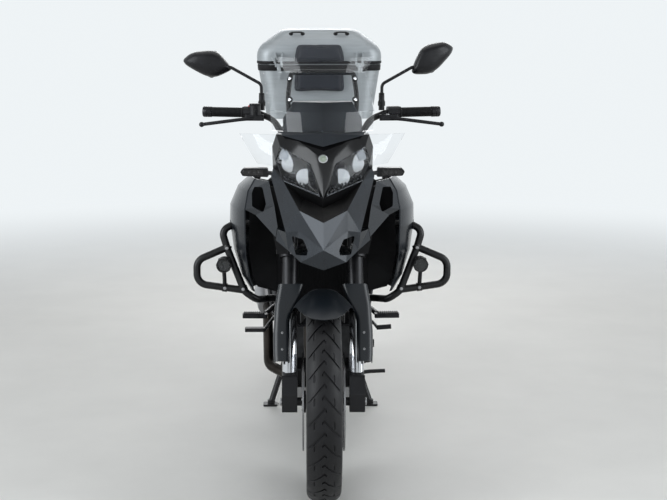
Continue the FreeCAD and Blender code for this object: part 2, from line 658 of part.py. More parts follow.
def pillion_seat():
    """Raised passenger saddle, resting on the seat rails."""
    saddle = cushion([(330.3, 164, 146, 857, 962), (420, 158, 140, 872, 975), (560, 134, 118, 898, 985),
                      (600, 124, 104, 905, 980)], 14)
    rail = seat_rail(SEAT_RAIL_RADIUS + SEAT_GAP)
    return saddle.cut(rail).cut(mirrored(rail))


def side_fairings():
    """Radiator shrouds: a bulging side and a faceted front panel with its air duct."""
    slices = [
        (1036, (226, -560), (243, -440), (205, -240)),
        (993, (250, -550), (287, -430), (222, -190)),
        (927, (262, -545), (312, -425), (240, -155)),
        (868, (262, -540), (313, -425), (240, -150)),
        (772, (262, -520), (300, -430), (236, -190)),
        (687, (250, -495), (275, -440), (230, -300)),
        (636, (234, -478), (245, -445), (224, -350)),
    ]
    side = curved_sheet(slices, PANEL).cut(inner_guard_tube(CRASH_BAR_RADIUS + 6))
    places = {"in_top": (176, -642, 1036), "out_top": (224, -558, 1035), "out_mid": (248, -548, 993),
              "out_low": (260, -543, 930), "in_mid": (158, -668, 960), "fold": (222, -582, 916),
              "in_low": (147, -694, 894), "foot": (154, -690, 860)}
    corners = {name: Vector(*place) for name, place in places.items()}
    front = faceted_sheet(corners, [
        ("in_top", "out_top", "out_mid"), ("in_top", "out_mid", "in_mid"), ("in_mid", "out_mid", "out_low"),
        ("in_mid", "out_low", "fold"), ("in_mid", "fold", "in_low"), ("in_low", "fold", "foot")], 6)
    duct = plate_y([(198, 1014), (226, 1010), (235, 988), (234, 944), (196, 930), (186, 960)], -700, -500, 6)
    boss = bar(Vector(180, -236, 980), Vector(SHROUD_BOSS_END, -236, 980), 8).cut(fuel_tank())
    shroud = fused([side, front.cut(duct).cut(nose_form(2)), boss])
    return [shroud, mirrored(shroud)]


def nose_form(grow):
    """Outer form of the nose, from brow to beak, grown by a gap."""
    points = {}
    for name, (x, y, z) in NOSE_FRONT.items():
        tall = NOSE_MIDDLE_Z + (z - NOSE_MIDDLE_Z) * (1 + grow / 190)
        points[name] = Vector(x * (1 + grow / 150), y - grow, tall)

    def behind(point):
        return Vector(point.x, NOSE_BACK_Y - NOSE_BACK_LEAN * (NOSE_TOP_Z - point.z) + grow, point.z)

    half = faceted(points, NOSE_FACETS, behind)
    return half.fuse(mirrored(half)).removeSplitter()


def nose_cavity(inset):
    """Hollow of the nose: an upper room behind the lamps and a lower one behind the beak."""
    upper = plate_z([(-140 + inset, -640), (-80, -672 + inset), (80, -672 + inset), (140 - inset, -640),
                     (140 - inset, -500), (-140 + inset, -500)], 1000, 1184 - inset, 8)
    sections = []
    for z, half in ((1004, 144), (900, 110), (846, 92), (822, 60)):
        points = [Vector(x, y, z) for x, y in ((-half + inset, -704 + inset), (half - inset, -704 + inset),
                                               (half - inset, -540), (-half + inset, -540))]
        sections.append(outline(points, 8))
    return upper.fuse(loft(sections))


def lamp_prism(grow):
    """Fore and aft prism round the right-hand headlamp."""
    centre_x = sum(x for x, z in LAMP_CORNERS) / len(LAMP_CORNERS)
    centre_z = sum(z for x, z in LAMP_CORNERS) / len(LAMP_CORNERS)
    places = []
    for x, z in LAMP_CORNERS:
        away = math.hypot(x - centre_x, z - centre_z)
        scale = 1 + grow / away
        places.append((centre_x + (x - centre_x) * scale, centre_z + (z - centre_z) * scale))
    return plate_y(places, -860, -640, 5)


def nose_beak():
    """Headlamp surround, blades and beak in one hollow moulding, clear of the turning fork."""
    shell = nose_form(0).cut(nose_cavity(0))
    shell = shell.cut(lamp_prism(SEAT_GAP)).cut(mirrored(lamp_prism(SEAT_GAP)))
    nostril = plate_y([(101, 880), (64, 874), (49, 842), (52, 826), (88, 822)], -900, -640, 5)
    shell = shell.cut(nostril).cut(mirrored(nostril))
    return shell.cut(steering_room())


def headlamps():
    """Two slanted lamps that fill the openings of the nose."""
    lamp = nose_form(0).translated(Y_AXIS * 2).common(lamp_prism(0))
    lamp = lamp.cut(block(-400, 400, -660, 0, 900, 1300))
    lamp = lamp.cut(steering_room())
    return [lamp, mirrored(lamp)]


def cowl_form(grow):
    """Cowl over the lamps, under the screen."""
    table = [
        # z, half width, front y, side y, back y
        (NOSE_TOP_Z + 0.4, 128, -710, -652, -566),
        (1204, 128, -692, -644, -562),
        (1240, 127, -674, -620, -558),
        (1292, 96, -641, -610, -556),
    ]
    sections = []
    for z, half, y_front, y_side, y_back in table:
        wide = half + grow
        points = [Vector(x, y, z) for x, y in (
            (0, y_front - grow), (wide, y_side), (wide, y_back + grow), (-wide, y_back + grow), (-wide, y_side))]
        sections.append(outline(points, 8))
    return loft(sections)


def instrument_cluster():
    """The cowl with its visor, the panel behind it and the arms that carry the screen."""
    lip = {"middle": Vector(0, -756, 1160), "top": Vector(0, -722, 1199), "side": Vector(132, -684, 1190),
           "out": Vector(134, -664, 1199)}
    visor = faceted(lip, [("middle", "side", "top"), ("side", "out", "top")],
                    lambda point: Vector(point.x, point.y + 26, point.z))
    visor = visor.cut(nose_form(SEAT_GAP))
    panel = plate_y([(-78, 1196), (78, 1196), (70, 1268), (-70, 1268)], -562, -532, 10)
    arms = [rod([(x * 0.94, -590, 1215), (x, -590, 1300), (x * 0.94, -552, 1374), (x * 0.9, -548, 1384)], 6, 30)
            for x in (-112, 112)]
    hoop = rod([(-101, -548, 1382), (101, -548, 1382)], 6)
    ahead = windscreen_sheet().translated(Y_AXIS * SEAT_GAP)
    bosses = []
    for x in (-112, 112):
        for y, z in ((-589, 1300), (-556, 1366)):
            boss = bar(Vector(x * 0.95, y, z), Vector(x * 0.95, y - 70, z), 7).cut(ahead)
            bosses.append(max(boss.Solids, key=lambda piece: piece.CenterOfMass.y))
    return fused([cowl_form(0), visor, mirrored(visor), panel, hoop] + arms + bosses)


def windscreen_sheet():
    """The tall clear screen."""
    slices = [
        (1200, (-165, -600), (0, -702), (165, -600)),
        (1262, (-172, -570), (0, -672), (172, -570)),
        (1385, (-142, -530), (0, -592), (142, -530)),
        (1434, (-172, -500), (0, -568), (172, -500)),
        (1495, (-135, -490), (0, -545), (135, -490)),
    ]
    return curved_sheet(slices, SCREEN)


def windscreen():
    """Clear screen and the two small side deflectors."""
    screen = windscreen_sheet().cut(cowl_form(SEAT_GAP))
    wing_slices = [
        (1086, (146, -640), (188, -598), (216, -554)),
        (1120, (142, -636), (196, -595), (238, -548)),
        (1185, (112, -592), (205, -580), (275, -540)),
    ]
    wing = curved_sheet(wing_slices, 3).cut(nose_form(SEAT_GAP))
    return [screen, wing, mirrored(wing)]


def indicators():
    """Front and rear direction indicators on their stalks."""
    front = fused([
        plate_y([(176, 1048), (262, 1052), (270, 1066), (258, 1078), (180, 1078)], -628, -596, 6),
        bar(Vector(140, -660, 1062), Vector(188, -612, 1062), 7).cut(nose_form(SEAT_GAP))])
    rear = fused([
        plate_y([(120, 838), (192, 842), (200, 856), (190, 868), (124, 868)], 900, 930, 6),
        rod([(56.3, 922, 880), (82, 922, 880), (126, 914, 856)], 7, 20)])
    return [front, mirrored(front), rear, mirrored(rear)]


def inner_guard_tube(radius):
    """Inner hoop of the left engine guard."""
    return rod([(128.4, -345, 800), (172, -345, 800), (225, -352, 850), (300, -410, 862), (345, -425, 840),
                (327, -432, 780), (268, -455, 632), (228, -450, 602), (200, -388, 592), (143.6, -372, 592)],
               radius, 40)


def crash_bars():
    """Tubular engine guards: an inner hoop and an outer loop on each side."""
    inner = inner_guard_tube(CRASH_BAR_RADIUS)
    outer = rod([(327, -432, 782), (431, -440, 738), (431, -445, 658), (266, -455, 636)], CRASH_BAR_RADIUS, 38)
    side = fused([inner, outer])
    return [side, mirrored(side)]


def fog_lamps():
    """Two small round lamps on the crash bars."""
    body = Part.makeCylinder(24, 46, Vector(335, -505, 732), Y_AXIS)
    lamp = fused([body, bar(Vector(335, -490, 710), Vector(335, -457.6, 656.9), 7)])
    return [lamp, mirrored(lamp)]


def skid_plate():
    """Bash plate under the engine."""
    half = CRADLE_FRONT[0] + 6
    tray = plate_x([(-425, 340), (-405, 228), (-330, 205), (-60, 205), (-60, 209), (-328, 210), (-401, 231),
                    (-421, 340)], -half, half, 1.2)
    posts = []
    for y in (-300, -120):
        share = (y - CRADLE_FRONT[1]) / (CRADLE_REAR[1] - CRADLE_FRONT[1])
        under = CRADLE_FRONT[2] + (CRADLE_REAR[2] - CRADLE_FRONT[2]) * share - CRADLE_RADIUS - 2 * SEAT_GAP
        post = block(half - 12, half, y - 12, y + 12, 206, under)
        posts += [post, mirrored(post)]
    return fused([tray] + posts)


def exhaust_headers():
    """Two header pipes that join under the engine and run back on the right."""
    pipes = [rod([(x, -370, 702), (x, -376, 420), (x * 0.7, -340, 238), (-20, -180, 236),
                  (-44, -60, 236)], 17, 60) for x in (-48, 48)]
    flanges = [block(x - 26, x + 26, -372, -338, 668, 704).cut(cylinder_head()) for x in (-48, 48)]
    end = SILENCER_START - SILENCER_ALONG * SEAT_GAP
    before = end - SILENCER_ALONG * 60
    collector = rod([(-20, -160, 236), (-48, -30, 232), (-120, 50, 195), (-204, 150, 214),
                     (before.x, before.y, before.z), (end.x, end.y, end.z)], 20, 60)
    return fused(pipes + flanges + [collector])


def silencer():
    """Tapered silencer on the right with its end cap."""
    start = SILENCER_START
    along = SILENCER_ALONG
    body = Part.makeCone(40, 56, 90, start, along)
    drum = Part.makeCylinder(56, 300, start + along * 90, along)
    tail = Part.makeCone(56, 40, 40, start + along * 390, along)
    outlet = Part.makeCylinder(24, 20, start + along * 428, along)
    return fused([body, drum, tail, outlet])


def swingarm():
    """Box-section swingarm with its pivot and the rear axle."""
    rear = REAR_AXLE.y
    arm = plate_x([(190, 312), (240, 300), (rear - 49, 312), (rear + 43, 322), (rear + 51, 352),
                   (rear + 43, 384), (rear - 49, 388), (240, 372), (190, 356)],
                  ARM_INNER_X, ARM_INNER_X + ARM_WIDTH, 12)
    brace = block(-ARM_INNER_X - 4, ARM_INNER_X + 4, 300, 384, 304, SWING_BRACE_TOP)
    pivot = bar(Vector(-ARM_INNER_X - 4, SWING_PIVOT_Y, SWING_PIVOT_Z),
                Vector(ARM_INNER_X + 4, SWING_PIVOT_Y, SWING_PIVOT_Z), 18)
    spindle = bar(Vector(-168, SWING_PIVOT_Y, SWING_PIVOT_Z), Vector(168, SWING_PIVOT_Y, SWING_PIVOT_Z), 10)
    axle_end = ARM_INNER_X + ARM_WIDTH + 14
    axle = bar(Vector(-axle_end, REAR_AXLE.y, REAR_AXLE.z), Vector(axle_end, REAR_AXLE.y, REAR_AXLE.z),
               AXLE_RADIUS)
    caliper = plate_x([(rear - 99, 392), (rear - 49, 392), (rear - 33, 470), (rear - 99, 480)], -128, -84, 8)
    slot = Part.makeCylinder(REAR_DISC_RADIUS + 5, DISC_THICKNESS + 4,
                             Vector(-REAR_DISC_X - DISC_THICKNESS / 2 - 2, REAR_AXLE.y, REAR_AXLE.z), X_AXIS)
    carrier = plate_x([(rear - 89, 372), (rear - 49, 372), (rear - 49, 400), (rear - 89, 400)],
                      -128, -ARM_INNER_X - 1, 4)
    arms = fused([arm, mirrored(arm), brace, pivot, spindle, axle, carrier, caliper.cut(slot)])
    outer = ARM_INNER_X + ARM_WIDTH
    for side in (-1, 1):
        mouth = Vector(side * outer, REAR_AXLE.y - SPOOL_AHEAD, SPOOL_Z)
        arms = arms.cut(bar(mouth + X_AXIS * side, mouth - X_AXIS * side * SPOOL_DEPTH, SPOOL_RADIUS))
    return arms


def rear_shock():
    """Single shock absorber with its spring, right of centre."""
    foot = Vector(-20, 345, 366)
    top = Vector(-20, SHOCK_TOP_Y, SHOCK_TOP_Z)
    along = (top - foot).normalize()
    damper = bar(foot, top, 19)
    damper = damper.cut(block(-80, 80, 290, 400, 340, SWING_BRACE_TOP + SEAT_GAP))
    damper = damper.cut(bar(top - X_AXIS * 60, top + X_AXIS * 60, SHOCK_BRACE_RADIUS + SEAT_GAP))
    spring = []
    for index in range(8):
        centre = foot + along * (60 + 22 * index)
        lean = Vector(0.13, 0, 0)
        spring.append(Part.makeTorus(33, 6, centre, along + lean))
    seats = [Part.makeCylinder(38, 8, foot + along * 44, along),
             Part.makeCylinder(38, 8, foot + along * 222, along)]
    web = [Part.makeCylinder(28, 172, foot + along * 48, along)]
    return fused([damper] + seats + web + spring)


def foot_controls():
    """Rider and passenger footpegs, gear lever and brake pedal."""
    peg = fused([
        plate_z([(206, 40), (300, 44), (300, 76), (206, 80)], 424, 440, 5),
        rod([(164.3, 190, 440), (184, 190, 440), (215, 80, 434)], 10)])
    rear_peg = fused([
        plate_z([(206, 330), (290, 334), (290, 358), (206, 362)], 520, 534, 5),
        rod([(164.3, 246, 396), (186, 246, 396), (212, 345, 527)], 9)])
    gear = fused([rod([(164.3, 178, 400), (180, 178, 400), (205, 60, 398), (212, -70, 412)], 6),
                  rod([(208, -66, 412), (262, -66, 416)], 9)])
    brake = fused([rod([(-164.3, 178, 400), (-182, 178, 400), (-205, 60, 392), (-214, -50, 400)], 7),
                   plate_z([(-286, -74), (-212, -74), (-212, -44), (-286, -44)], 398, 412, 5)])
    return [peg, mirrored(peg), rear_peg, mirrored(rear_peg), gear, brake]


def rail_place(y):
    """Place on the left seat rail at a given y."""
    for front, rear in zip(SEAT_RAIL, SEAT_RAIL[1:]):
        if y <= rear[1]:
            share = (y - front[1]) / (rear[1] - front[1])
            return Vector(*front) + (Vector(*rear) - Vector(*front)) * share


def rack():
    """Luggage rack with grab rails and the top box's base plate."""
    foot = rail_place(560)
    stub = bar(foot + X_AXIS * (SEAT_RAIL_RADIUS + 1.3), foot + X_AXIS * 40, 10)
    rail = rod([(foot.x + 32, foot.y, foot.z), (174, 600, 1010), (150, 700, 1092), (120, 900, 1100)], 12, 50)
    heel = rail_place(745)
    post = rod([(heel.x, heel.y, heel.z + SEAT_RAIL_RADIUS + 3.8), (122, 780, 1098)], 9)
    base = plate_z([(-150, 650), (150, 650), (150, 960), (-150, 960)], 1112, 1128, 30)
    cross = rod([(-128, 870, 1100), (128, 870, 1100)], 12)
    side = [stub, rail, post]
    return fused([base, cross] + side + [mirrored(piece) for piece in side])


def box_section(z, half, inset, top_cut):
    """Level outline of the top box, narrower at its front and rear corners."""
    y_front = BOX_FRONT_Y + inset + top_cut
    y_rear = BOX_FRONT_Y + BOX_DEPTH - inset - top_cut
    half = half - inset
    chamfer = 50
    points = [Vector(x, y, z) for x, y in (
        (-half + chamfer, y_front), (half - chamfer, y_front), (half, y_front + chamfer),
        (half, y_rear - chamfer), (half - chamfer, y_rear), (-half + chamfer, y_rear),
        (-half, y_rear - chamfer), (-half, y_front + chamfer))]
    return outline(points, 16)


def box_form(levels, inset):
    """Solid form of the box through levels of z, half width and front setback."""
    return loft([box_section(z, half, inset, cut) for z, half, cut in levels])


def top_box_body():
    """Lower tub of the top box, open at the top, with its hinge brackets."""
    levels = [(BOX_BOTTOM_Z, 218, 0), (BOX_SPLIT_Z - 1, BOX_HALF_WIDTH - 4, 0)]
    cavity = [(BOX_BOTTOM_Z + BOX_WALL, 218, 0), (BOX_SPLIT_Z + 10, BOX_HALF_WIDTH - 2, 0)]
    tub = box_form(levels, 0).cut(box_form(cavity, BOX_WALL))
    foot = block(-120, 120, 680, 940, 1128, 1142)
    brackets = []
    for x in (-HINGE_X, HINGE_X):
        brackets.append(block(x - 8, x + 8, HINGE_Y - 8, BOX_FRONT_Y + 2, HINGE_Z - 60, BOX_SPLIT_Z - 5))
        brackets.append(Part.makeCylinder(8, 16, Vector(x - 8, HINGE_Y, HINGE_Z), X_AXIS))
    holes = [Part.makeCylinder(PIN_RADIUS + RUNNING_FIT, 40, Vector(x - 20, HINGE_Y, HINGE_Z), X_AXIS)
             for x in (-HINGE_X, HINGE_X)]
    return fused([tub, foot] + brackets).cut(Part.makeCompound(holes))


def top_box_lid():
    """Lid of the top box with its hinge straps and pins."""
    levels = [(BOX_SPLIT_Z, BOX_HALF_WIDTH - 2, 0), (1394, BOX_HALF_WIDTH, 0), (1440, 240, 10),
              (BOX_TOP_Z, 156, 60)]
    cavity = [(BOX_SPLIT_Z - 10, BOX_HALF_WIDTH - 2, 0), (1394, BOX_HALF_WIDTH, 0), (1438, 240, 10),
              (BOX_TOP_Z - BOX_WALL, 158, 60)]
    lid = box_form(levels, 0).cut(box_form(cavity, BOX_WALL))
    pieces = [lid]
    for x in (-HINGE_X, HINGE_X):
        for side in (-1, 1):
            low = min(x + side * 9, x + side * 17)
            pieces.append(block(low, low + 8, HINGE_Y - 8, BOX_FRONT_Y + 3, HINGE_Z + 6, HINGE_Z + 50))
            pieces.append(Part.makeCylinder(8, 8, Vector(low, HINGE_Y, HINGE_Z), X_AXIS))
            pieces.append(block(low, low + 8, HINGE_Y - 8, HINGE_Y + 8, HINGE_Z, HINGE_Z + 10))
        pieces.append(Part.makeCylinder(PIN_RADIUS, 34, Vector(x - 17, HINGE_Y, HINGE_Z), X_AXIS))
    return fused(pieces)


def backrest_lower():
    """Pad on the tub's front wall."""
    front = BOX_FRONT_Y - PAD_DEPTH
    return plate_y([(-104, 1252), (104, 1252), (100, 1340), (-100, 1340)], front, BOX_FRONT_Y - 0.4, 12)


def backrest_upper():
    """Pad on the lid's front wall."""
    front = BOX_FRONT_Y - PAD_DEPTH
    return plate_y([(-104, 1370), (104, 1370), (84, 1446), (-84, 1446)], front, BOX_FRONT_Y - 0.4, 12)


def tail_unit():
    """Tail light and the plate holder behind the wheel."""
    end = REAR_END_Y
    holder = plate_x([(TAIL_BRACE_Y - 14, 892), (end - 200, 872), (end - 90, 800), (end - 4, 600), (end, 602),
                      (end - 80, 812), (end - 170, 900), (end - 300, 917), (TAIL_BRACE_Y - 14, 917)],
                     -56, 56, 1.5)
    brace = bar(Vector(-60, TAIL_BRACE_Y, TAIL_BRACE_Z), Vector(60, TAIL_BRACE_Y, TAIL_BRACE_Z),
                TAIL_BRACE_RADIUS + SEAT_GAP)
    holder = holder.cut(brace)
    plate = plate_x([(end - 92, 812), (end - 10, 612), (end - 6, 614), (end - 88, 816)], -90, 90, 1)
    lamp = plate_z([(-70, end - 250), (70, end - 250), (50, end - 195), (-50, end - 195)], 905, 950, 10)
    return fused([holder, plate, lamp])


def rear_hugger():
    """Mudguard close over the rear tyre."""
    inner = REAR_RADIUS + 14
    lug_y = REAR_AXLE.y - inner - 2
    lug = block(79, ARM_INNER_X - SEAT_GAP, lug_y, lug_y + 20, REAR_AXLE.z - 14, REAR_AXLE.z + 6)
    arch = spun([(-82, inner - 30), (-82, inner), (-50, inner + 18), (50, inner + 18), (82, inner),
                 (82, inner - 30), (79, inner - 30), (79, inner - 1), (49, inner + 15), (-49, inner + 15),
                 (-79, inner - 1), (-79, inner - 30)], REAR_AXLE, 70, 28)
    return fused([arch, lug, mirrored(lug)])


def side_panels():
    """Covers below the seats."""
    panel = curved_sheet([
        (700, (170, 60), (182, 130), (178, 230)),
        (780, (166, 40), (186, 200), (174, 420)),
        (830, (160, 40), (188, 240), (160, 560)),
        (872, (176, 250), (184, 400), (146, 640)),
    ], PANEL)
    seat = rail_place(300)
    boss = bar(seat + X_AXIS * (SEAT_RAIL_RADIUS + SEAT_GAP), seat + X_AXIS * 45, 7)
    panel = fused([panel, boss])
    return [panel, mirrored(panel)]


def fork_tubes():
    """Black outer tubes of the upside-down fork."""
    side = FORK_SPACING / 2
    tube = bar(fork_point(side, FORK_TUBE_FROM), fork_point(side, FORK_TUBE_TO), FORK_OUTER_RADIUS)
    return [tube, mirrored(tube)]


def fork_lowers():
    """Bright inner tubes, axle clamps and the hollow front axle."""
    side = FORK_SPACING / 2
    tube = bar(fork_point(side, 30), fork_point(side, FORK_TUBE_FROM - SEAT_GAP), FORK_INNER_RADIUS)
    clamp_in = side - AXLE_CLAMP_WIDTH / 2
    clamp_out = side + AXLE_CLAMP_WIDTH / 2
    clamp = plate_x([(-800, 300), (-745, 292), (-722, 330), (-712, 400), (-770, 418), (-800, 360)],
                    clamp_in, clamp_out, 10)
    lug = plate_x([(-745, 372), (-700, 352), (-672, 372), (-690, 412), (-730, 412)], clamp_in, clamp_in + 12, 5)
    axle_end = clamp_out + 3
    axle = bar(Vector(-axle_end, FRONT_AXLE.y, FRONT_AXLE.z), Vector(axle_end, FRONT_AXLE.y, FRONT_AXLE.z),
               AXLE_RADIUS)
    spacer_low = FRONT_DISC_X - DISC_THICKNESS / 2
    spacer = bar(Vector(spacer_low, FRONT_AXLE.y, FRONT_AXLE.z),
                 Vector(clamp_in + 2, FRONT_AXLE.y, FRONT_AXLE.z), 14)
    tab_places = ((60, 8), (166, 27), (166, FORK_OUTER_RADIUS + 6 - SEAT_GAP), (60, 22))
    tab = Part.Face(outline([on_axis(side + 6, AXLE_ALONG_AXIS + above, FORK_OFFSET + ahead)
                             for above, ahead in tab_places], 1)).extrude(X_AXIS * 8)
    leg = [tube, clamp, lug, spacer, tab]
    pieces = [axle] + leg + [mirrored(piece) for piece in leg]
    bore = bar(Vector(-200, FRONT_AXLE.y, FRONT_AXLE.z), Vector(200, FRONT_AXLE.y, FRONT_AXLE.z),
               AXLE_BORE_RADIUS)
    return fused(pieces).cut(bore)


def triple_clamp(above_axle):
    """One fork bridge with round bosses for the legs."""
    side = FORK_SPACING / 2
    half = CLAMP_THICKNESS / 2
    pieces = []
    for x in (-side, side):
        pieces.append(bar(fork_point(x, above_axle - half), fork_point(x, above_axle + half),
                          FORK_OUTER_RADIUS + 8))
    corners = [on_axis(x, AXLE_ALONG_AXIS + above_axle - half, ahead) for x, ahead in (
        (-side, FORK_OFFSET + 24), (side, FORK_OFFSET + 24), (side, FORK_OFFSET - 26), (34, -30),
        (-34, -30), (-side, FORK_OFFSET - 26))]
    pieces.append(Part.Face(outline(corners, 10)).extrude(STEER_UP * CLAMP_THICKNESS))
    return fused(pieces)


def triple_clamps():
    """Both fork bridges on the steering stem."""
    stem = bar(on_axis(0, AXLE_ALONG_AXIS + LOWER_CLAMP_AT, 0), on_axis(0, AXLE_ALONG_AXIS + UPPER_CLAMP_AT, 0),
               STEM_RADIUS)
    clamps = fused([triple_clamp(LOWER_CLAMP_AT), triple_clamp(UPPER_CLAMP_AT), stem])
    side = FORK_SPACING / 2
    for x in (-side, side):
        hole = bar(fork_point(x, LOWER_CLAMP_AT - 60), fork_point(x, UPPER_CLAMP_AT + 60),
                   FORK_OUTER_RADIUS + SEAT_GAP)
        clamps = clamps.cut(hole)
    return clamps


BAR_RADIUS = 11.0
BAR_HEIGHT = 812.0


def bar_places():
    """Places along the handlebar's left half, from the middle to the end."""
    middle = on_axis(0, AXLE_ALONG_AXIS + BAR_HEIGHT, 0)
    return [(0, middle.y, middle.z), (62, middle.y, middle.z), (165, -366, 1216), (222, -352, 1238),
            (398, -322, 1240)]


def handlebar_tube(radius):
    """The bent bar itself."""
    left = bar_places()
    right = [(-x, y, z) for x, y, z in reversed(left[1:])]
    return rod(right + left[1:], radius, 60)


def handlebar():
    """Wide handlebar with its risers."""
    tube = handlebar_tube(BAR_RADIUS)
    top = AXLE_ALONG_AXIS + BAR_HEIGHT
    foot = AXLE_ALONG_AXIS + UPPER_CLAMP_AT + CLAMP_THICKNESS / 2 + SEAT_GAP
    risers = [bar(on_axis(x, foot, 0), on_axis(x, top + 14, 0), 17) for x in (-44, 44)]
    return fused([tube] + risers)


def grips():
    """Rubber grips with their bar-end weights."""
    start = Vector(*bar_places()[3])
    end = Vector(*bar_places()[4])
    along = (end - start).normalize()
    inner = start + along * 46
    sleeve = bar(inner, end, 16.5)
    collar = bar(inner, inner + along * 6, 20)
    weight = bar(end - along * 18, end + along * 12, 18.5)
    hollow = bar(inner - along * 10, end + along * 0.4, BAR_RADIUS + SEAT_GAP)
    grip = fused([sleeve, collar, weight]).cut(hollow)
    return [grip, mirrored(grip)]


def controls():
    """Lever perches, levers, switch housings and the brake reservoir."""
    start = Vector(*bar_places()[3])
    end = Vector(*bar_places()[4])
    along = (end - start).normalize()
    hollow = handlebar_tube(BAR_RADIUS + SEAT_GAP)
    switch = bar(start + along * 4, start + along * 45, 22)
    perch = plate_z([(196, -400), (262, -394), (262, -346), (206, -348)], 1214, 1234, 6)
    lever = rod([(232, -392, 1222), (280, -394, 1218), (412, -376, 1200)], 6, 60)
    tip = Part.makeSphere(9, Vector(412, -376, 1200))
    side = fused([switch, perch, lever, tip]).cut(hollow)
    reservoir = Part.makeCylinder(19, 34, Vector(-228, -392, 1234), Z_AXIS)
    return [side, fused([mirrored(side), reservoir])]


def mirrors():
    """Rear-view mirrors on bent stems, the right one turned flatter than the left."""
    base = (206, -354, 1247)
    stem = rod([base, (207, -354, 1336), (310, -336, 1392), (338, -332, 1398)], 5.5, 20)
    foot = Part.makeCylinder(10, 50, Vector(*base), Z_AXIS)
    left_head = [(310, 1370), (326, 1417), (350, 1462), (423, 1478), (460, 1452), (386, 1372)]
    right_head = [(309, 1386), (322, 1402), (363, 1449), (444, 1441), (482, 1409), (381, 1354)]
    made = []
    for places, lean in ((left_head, 22), (right_head, 6)):
        middle_x = sum(x for x, z in places) / len(places)
        middle_z = sum(z for x, z in places) / len(places)
        back = [Vector(x, -308 + lean * (x - middle_x) / 75, z) for x, z in places]
        middle = Vector(middle_x, -308, middle_z)
        face = [middle + (point - middle) * 0.66 - Y_AXIS * 34 for point in back]
        head = loft([outline(back, 14), outline(face, 9)])
        made.append(fused([stem, foot, head]))
    return [made[0], mirrored(made[1])]


def front_fender():
    """Front mudguard, pointed at its lip, with the guards that shield the fork tubes."""
    inner = FRONT_RADIUS + 16
    arch = spun([(-72, inner - 36), (-72, inner), (-40, inner + 16), (0, inner + 22), (40, inner + 16),
                 (72, inner), (72, inner - 36), (69, inner - 36), (69, inner - 1), (39, inner + 13),
                 (0, inner + 19), (-39, inner + 13), (-69, inner - 1), (-69, inner - 36)], FRONT_AXLE, 84, -50)
    plan = plate_z([(-75, FRONT_Y + 320), (75, FRONT_Y + 320), (75, FRONT_Y - 70), (48, FRONT_Y - 160),
                    (16, FRONT_Y - 212), (-16, FRONT_Y - 212), (-48, FRONT_Y - 160), (-75, FRONT_Y - 70)],
                   400, 800, 8)
    front = FORK_OFFSET + FORK_OUTER_RADIUS + 6
    corners = [on_axis(x, AXLE_ALONG_AXIS + above, front) for x, above in (
        (66, 385), (148, 385), (164, 250), (150, 150), (116, 150), (84, 250))]
    guard = Part.Face(outline(corners, 12)).extrude(STEER_AHEAD * PANEL)
    edge = [on_axis(x, AXLE_ALONG_AXIS + above, front + 1) for x, above in (
        (145, 378), (160.5, 250), (149, 168), (145, 168), (156.5, 250), (141, 378))]
    flange = Part.Face(Part.makePolygon(edge + edge[:1])).extrude(STEER_AHEAD * -38)
    cheek_places = {"guard_top": (146, FRONT_Y + 126, 694), "crown": (68, FRONT_Y - 20, 690),
                    "lip": (68, FRONT_Y - 84, 672), "guard_low": (112, FRONT_Y + 84, 640)}
    cheek_corners = {name: Vector(*place) for name, place in cheek_places.items()}
    cheek = faceted_sheet(cheek_corners, [("guard_top", "crown", "guard_low"), ("crown", "lip", "guard_low")], 5)
    side = [guard, flange, cheek]
    return [fused([arch.common(plan)] + side + [mirrored(piece) for piece in side])]


def front_calipers():
    """Twin front calipers behind the fork legs."""
    front = FRONT_AXLE.y
    body = plate_x([(front + 69, 352), (front + 131, 372), (front + 149, 430), (front + 107, 452),
                    (front + 65, 420)], 48, FORK_SPACING / 2 - AXLE_CLAMP_WIDTH / 2 - SEAT_GAP, 10)
    slot = Part.makeCylinder(FRONT_DISC_RADIUS + 4, DISC_THICKNESS + 4,
                             Vector(FRONT_DISC_X - DISC_THICKNESS / 2 - 2, FRONT_AXLE.y, FRONT_AXLE.z), X_AXIS)
    caliper = body.cut(slot)
    return [caliper, mirrored(caliper)]


def centre_stand():
    """Two splayed legs on a cross tube, with their feet flat on the floor."""
    leg = rod([(128, STAND_PIVOT_Y, STAND_PIVOT_Z), (140, STAND_PIVOT_Y - 10, 190),
               (STAND_FOOT_X, STAND_FOOT_Y, 14)], 12, 60)
    foot = plate_z([(176, STAND_FOOT_Y - 22), (232, STAND_FOOT_Y - 22), (232, STAND_FOOT_Y + 26),
                    (176, STAND_FOOT_Y + 26)], 0, 8, 8)
    shoe = Part.makeCylinder(15, 20, Vector(STAND_FOOT_X, STAND_FOOT_Y, 4), Z_AXIS)
    cross = bar(Vector(-128, STAND_PIVOT_Y, STAND_PIVOT_Z), Vector(128, STAND_PIVOT_Y, STAND_PIVOT_Z), 14)
    pin = bar(Vector(-166, STAND_PIVOT_Y, STAND_PIVOT_Z), Vector(166, STAND_PIVOT_Y, STAND_PIVOT_Z), 8)
    brace = bar(Vector(-138, STAND_PIVOT_Y - 9, 192), Vector(138, STAND_PIVOT_Y - 9, 192), 9)
    lever = rod([(160, STAND_PIVOT_Y - 25, 128), (200, 350, 132), (264, 352, 134)], 8, 20)
    side = [leg, foot, shoe]
    return fused([cross, pin, brace, lever] + side + [mirrored(piece) for piece in side])


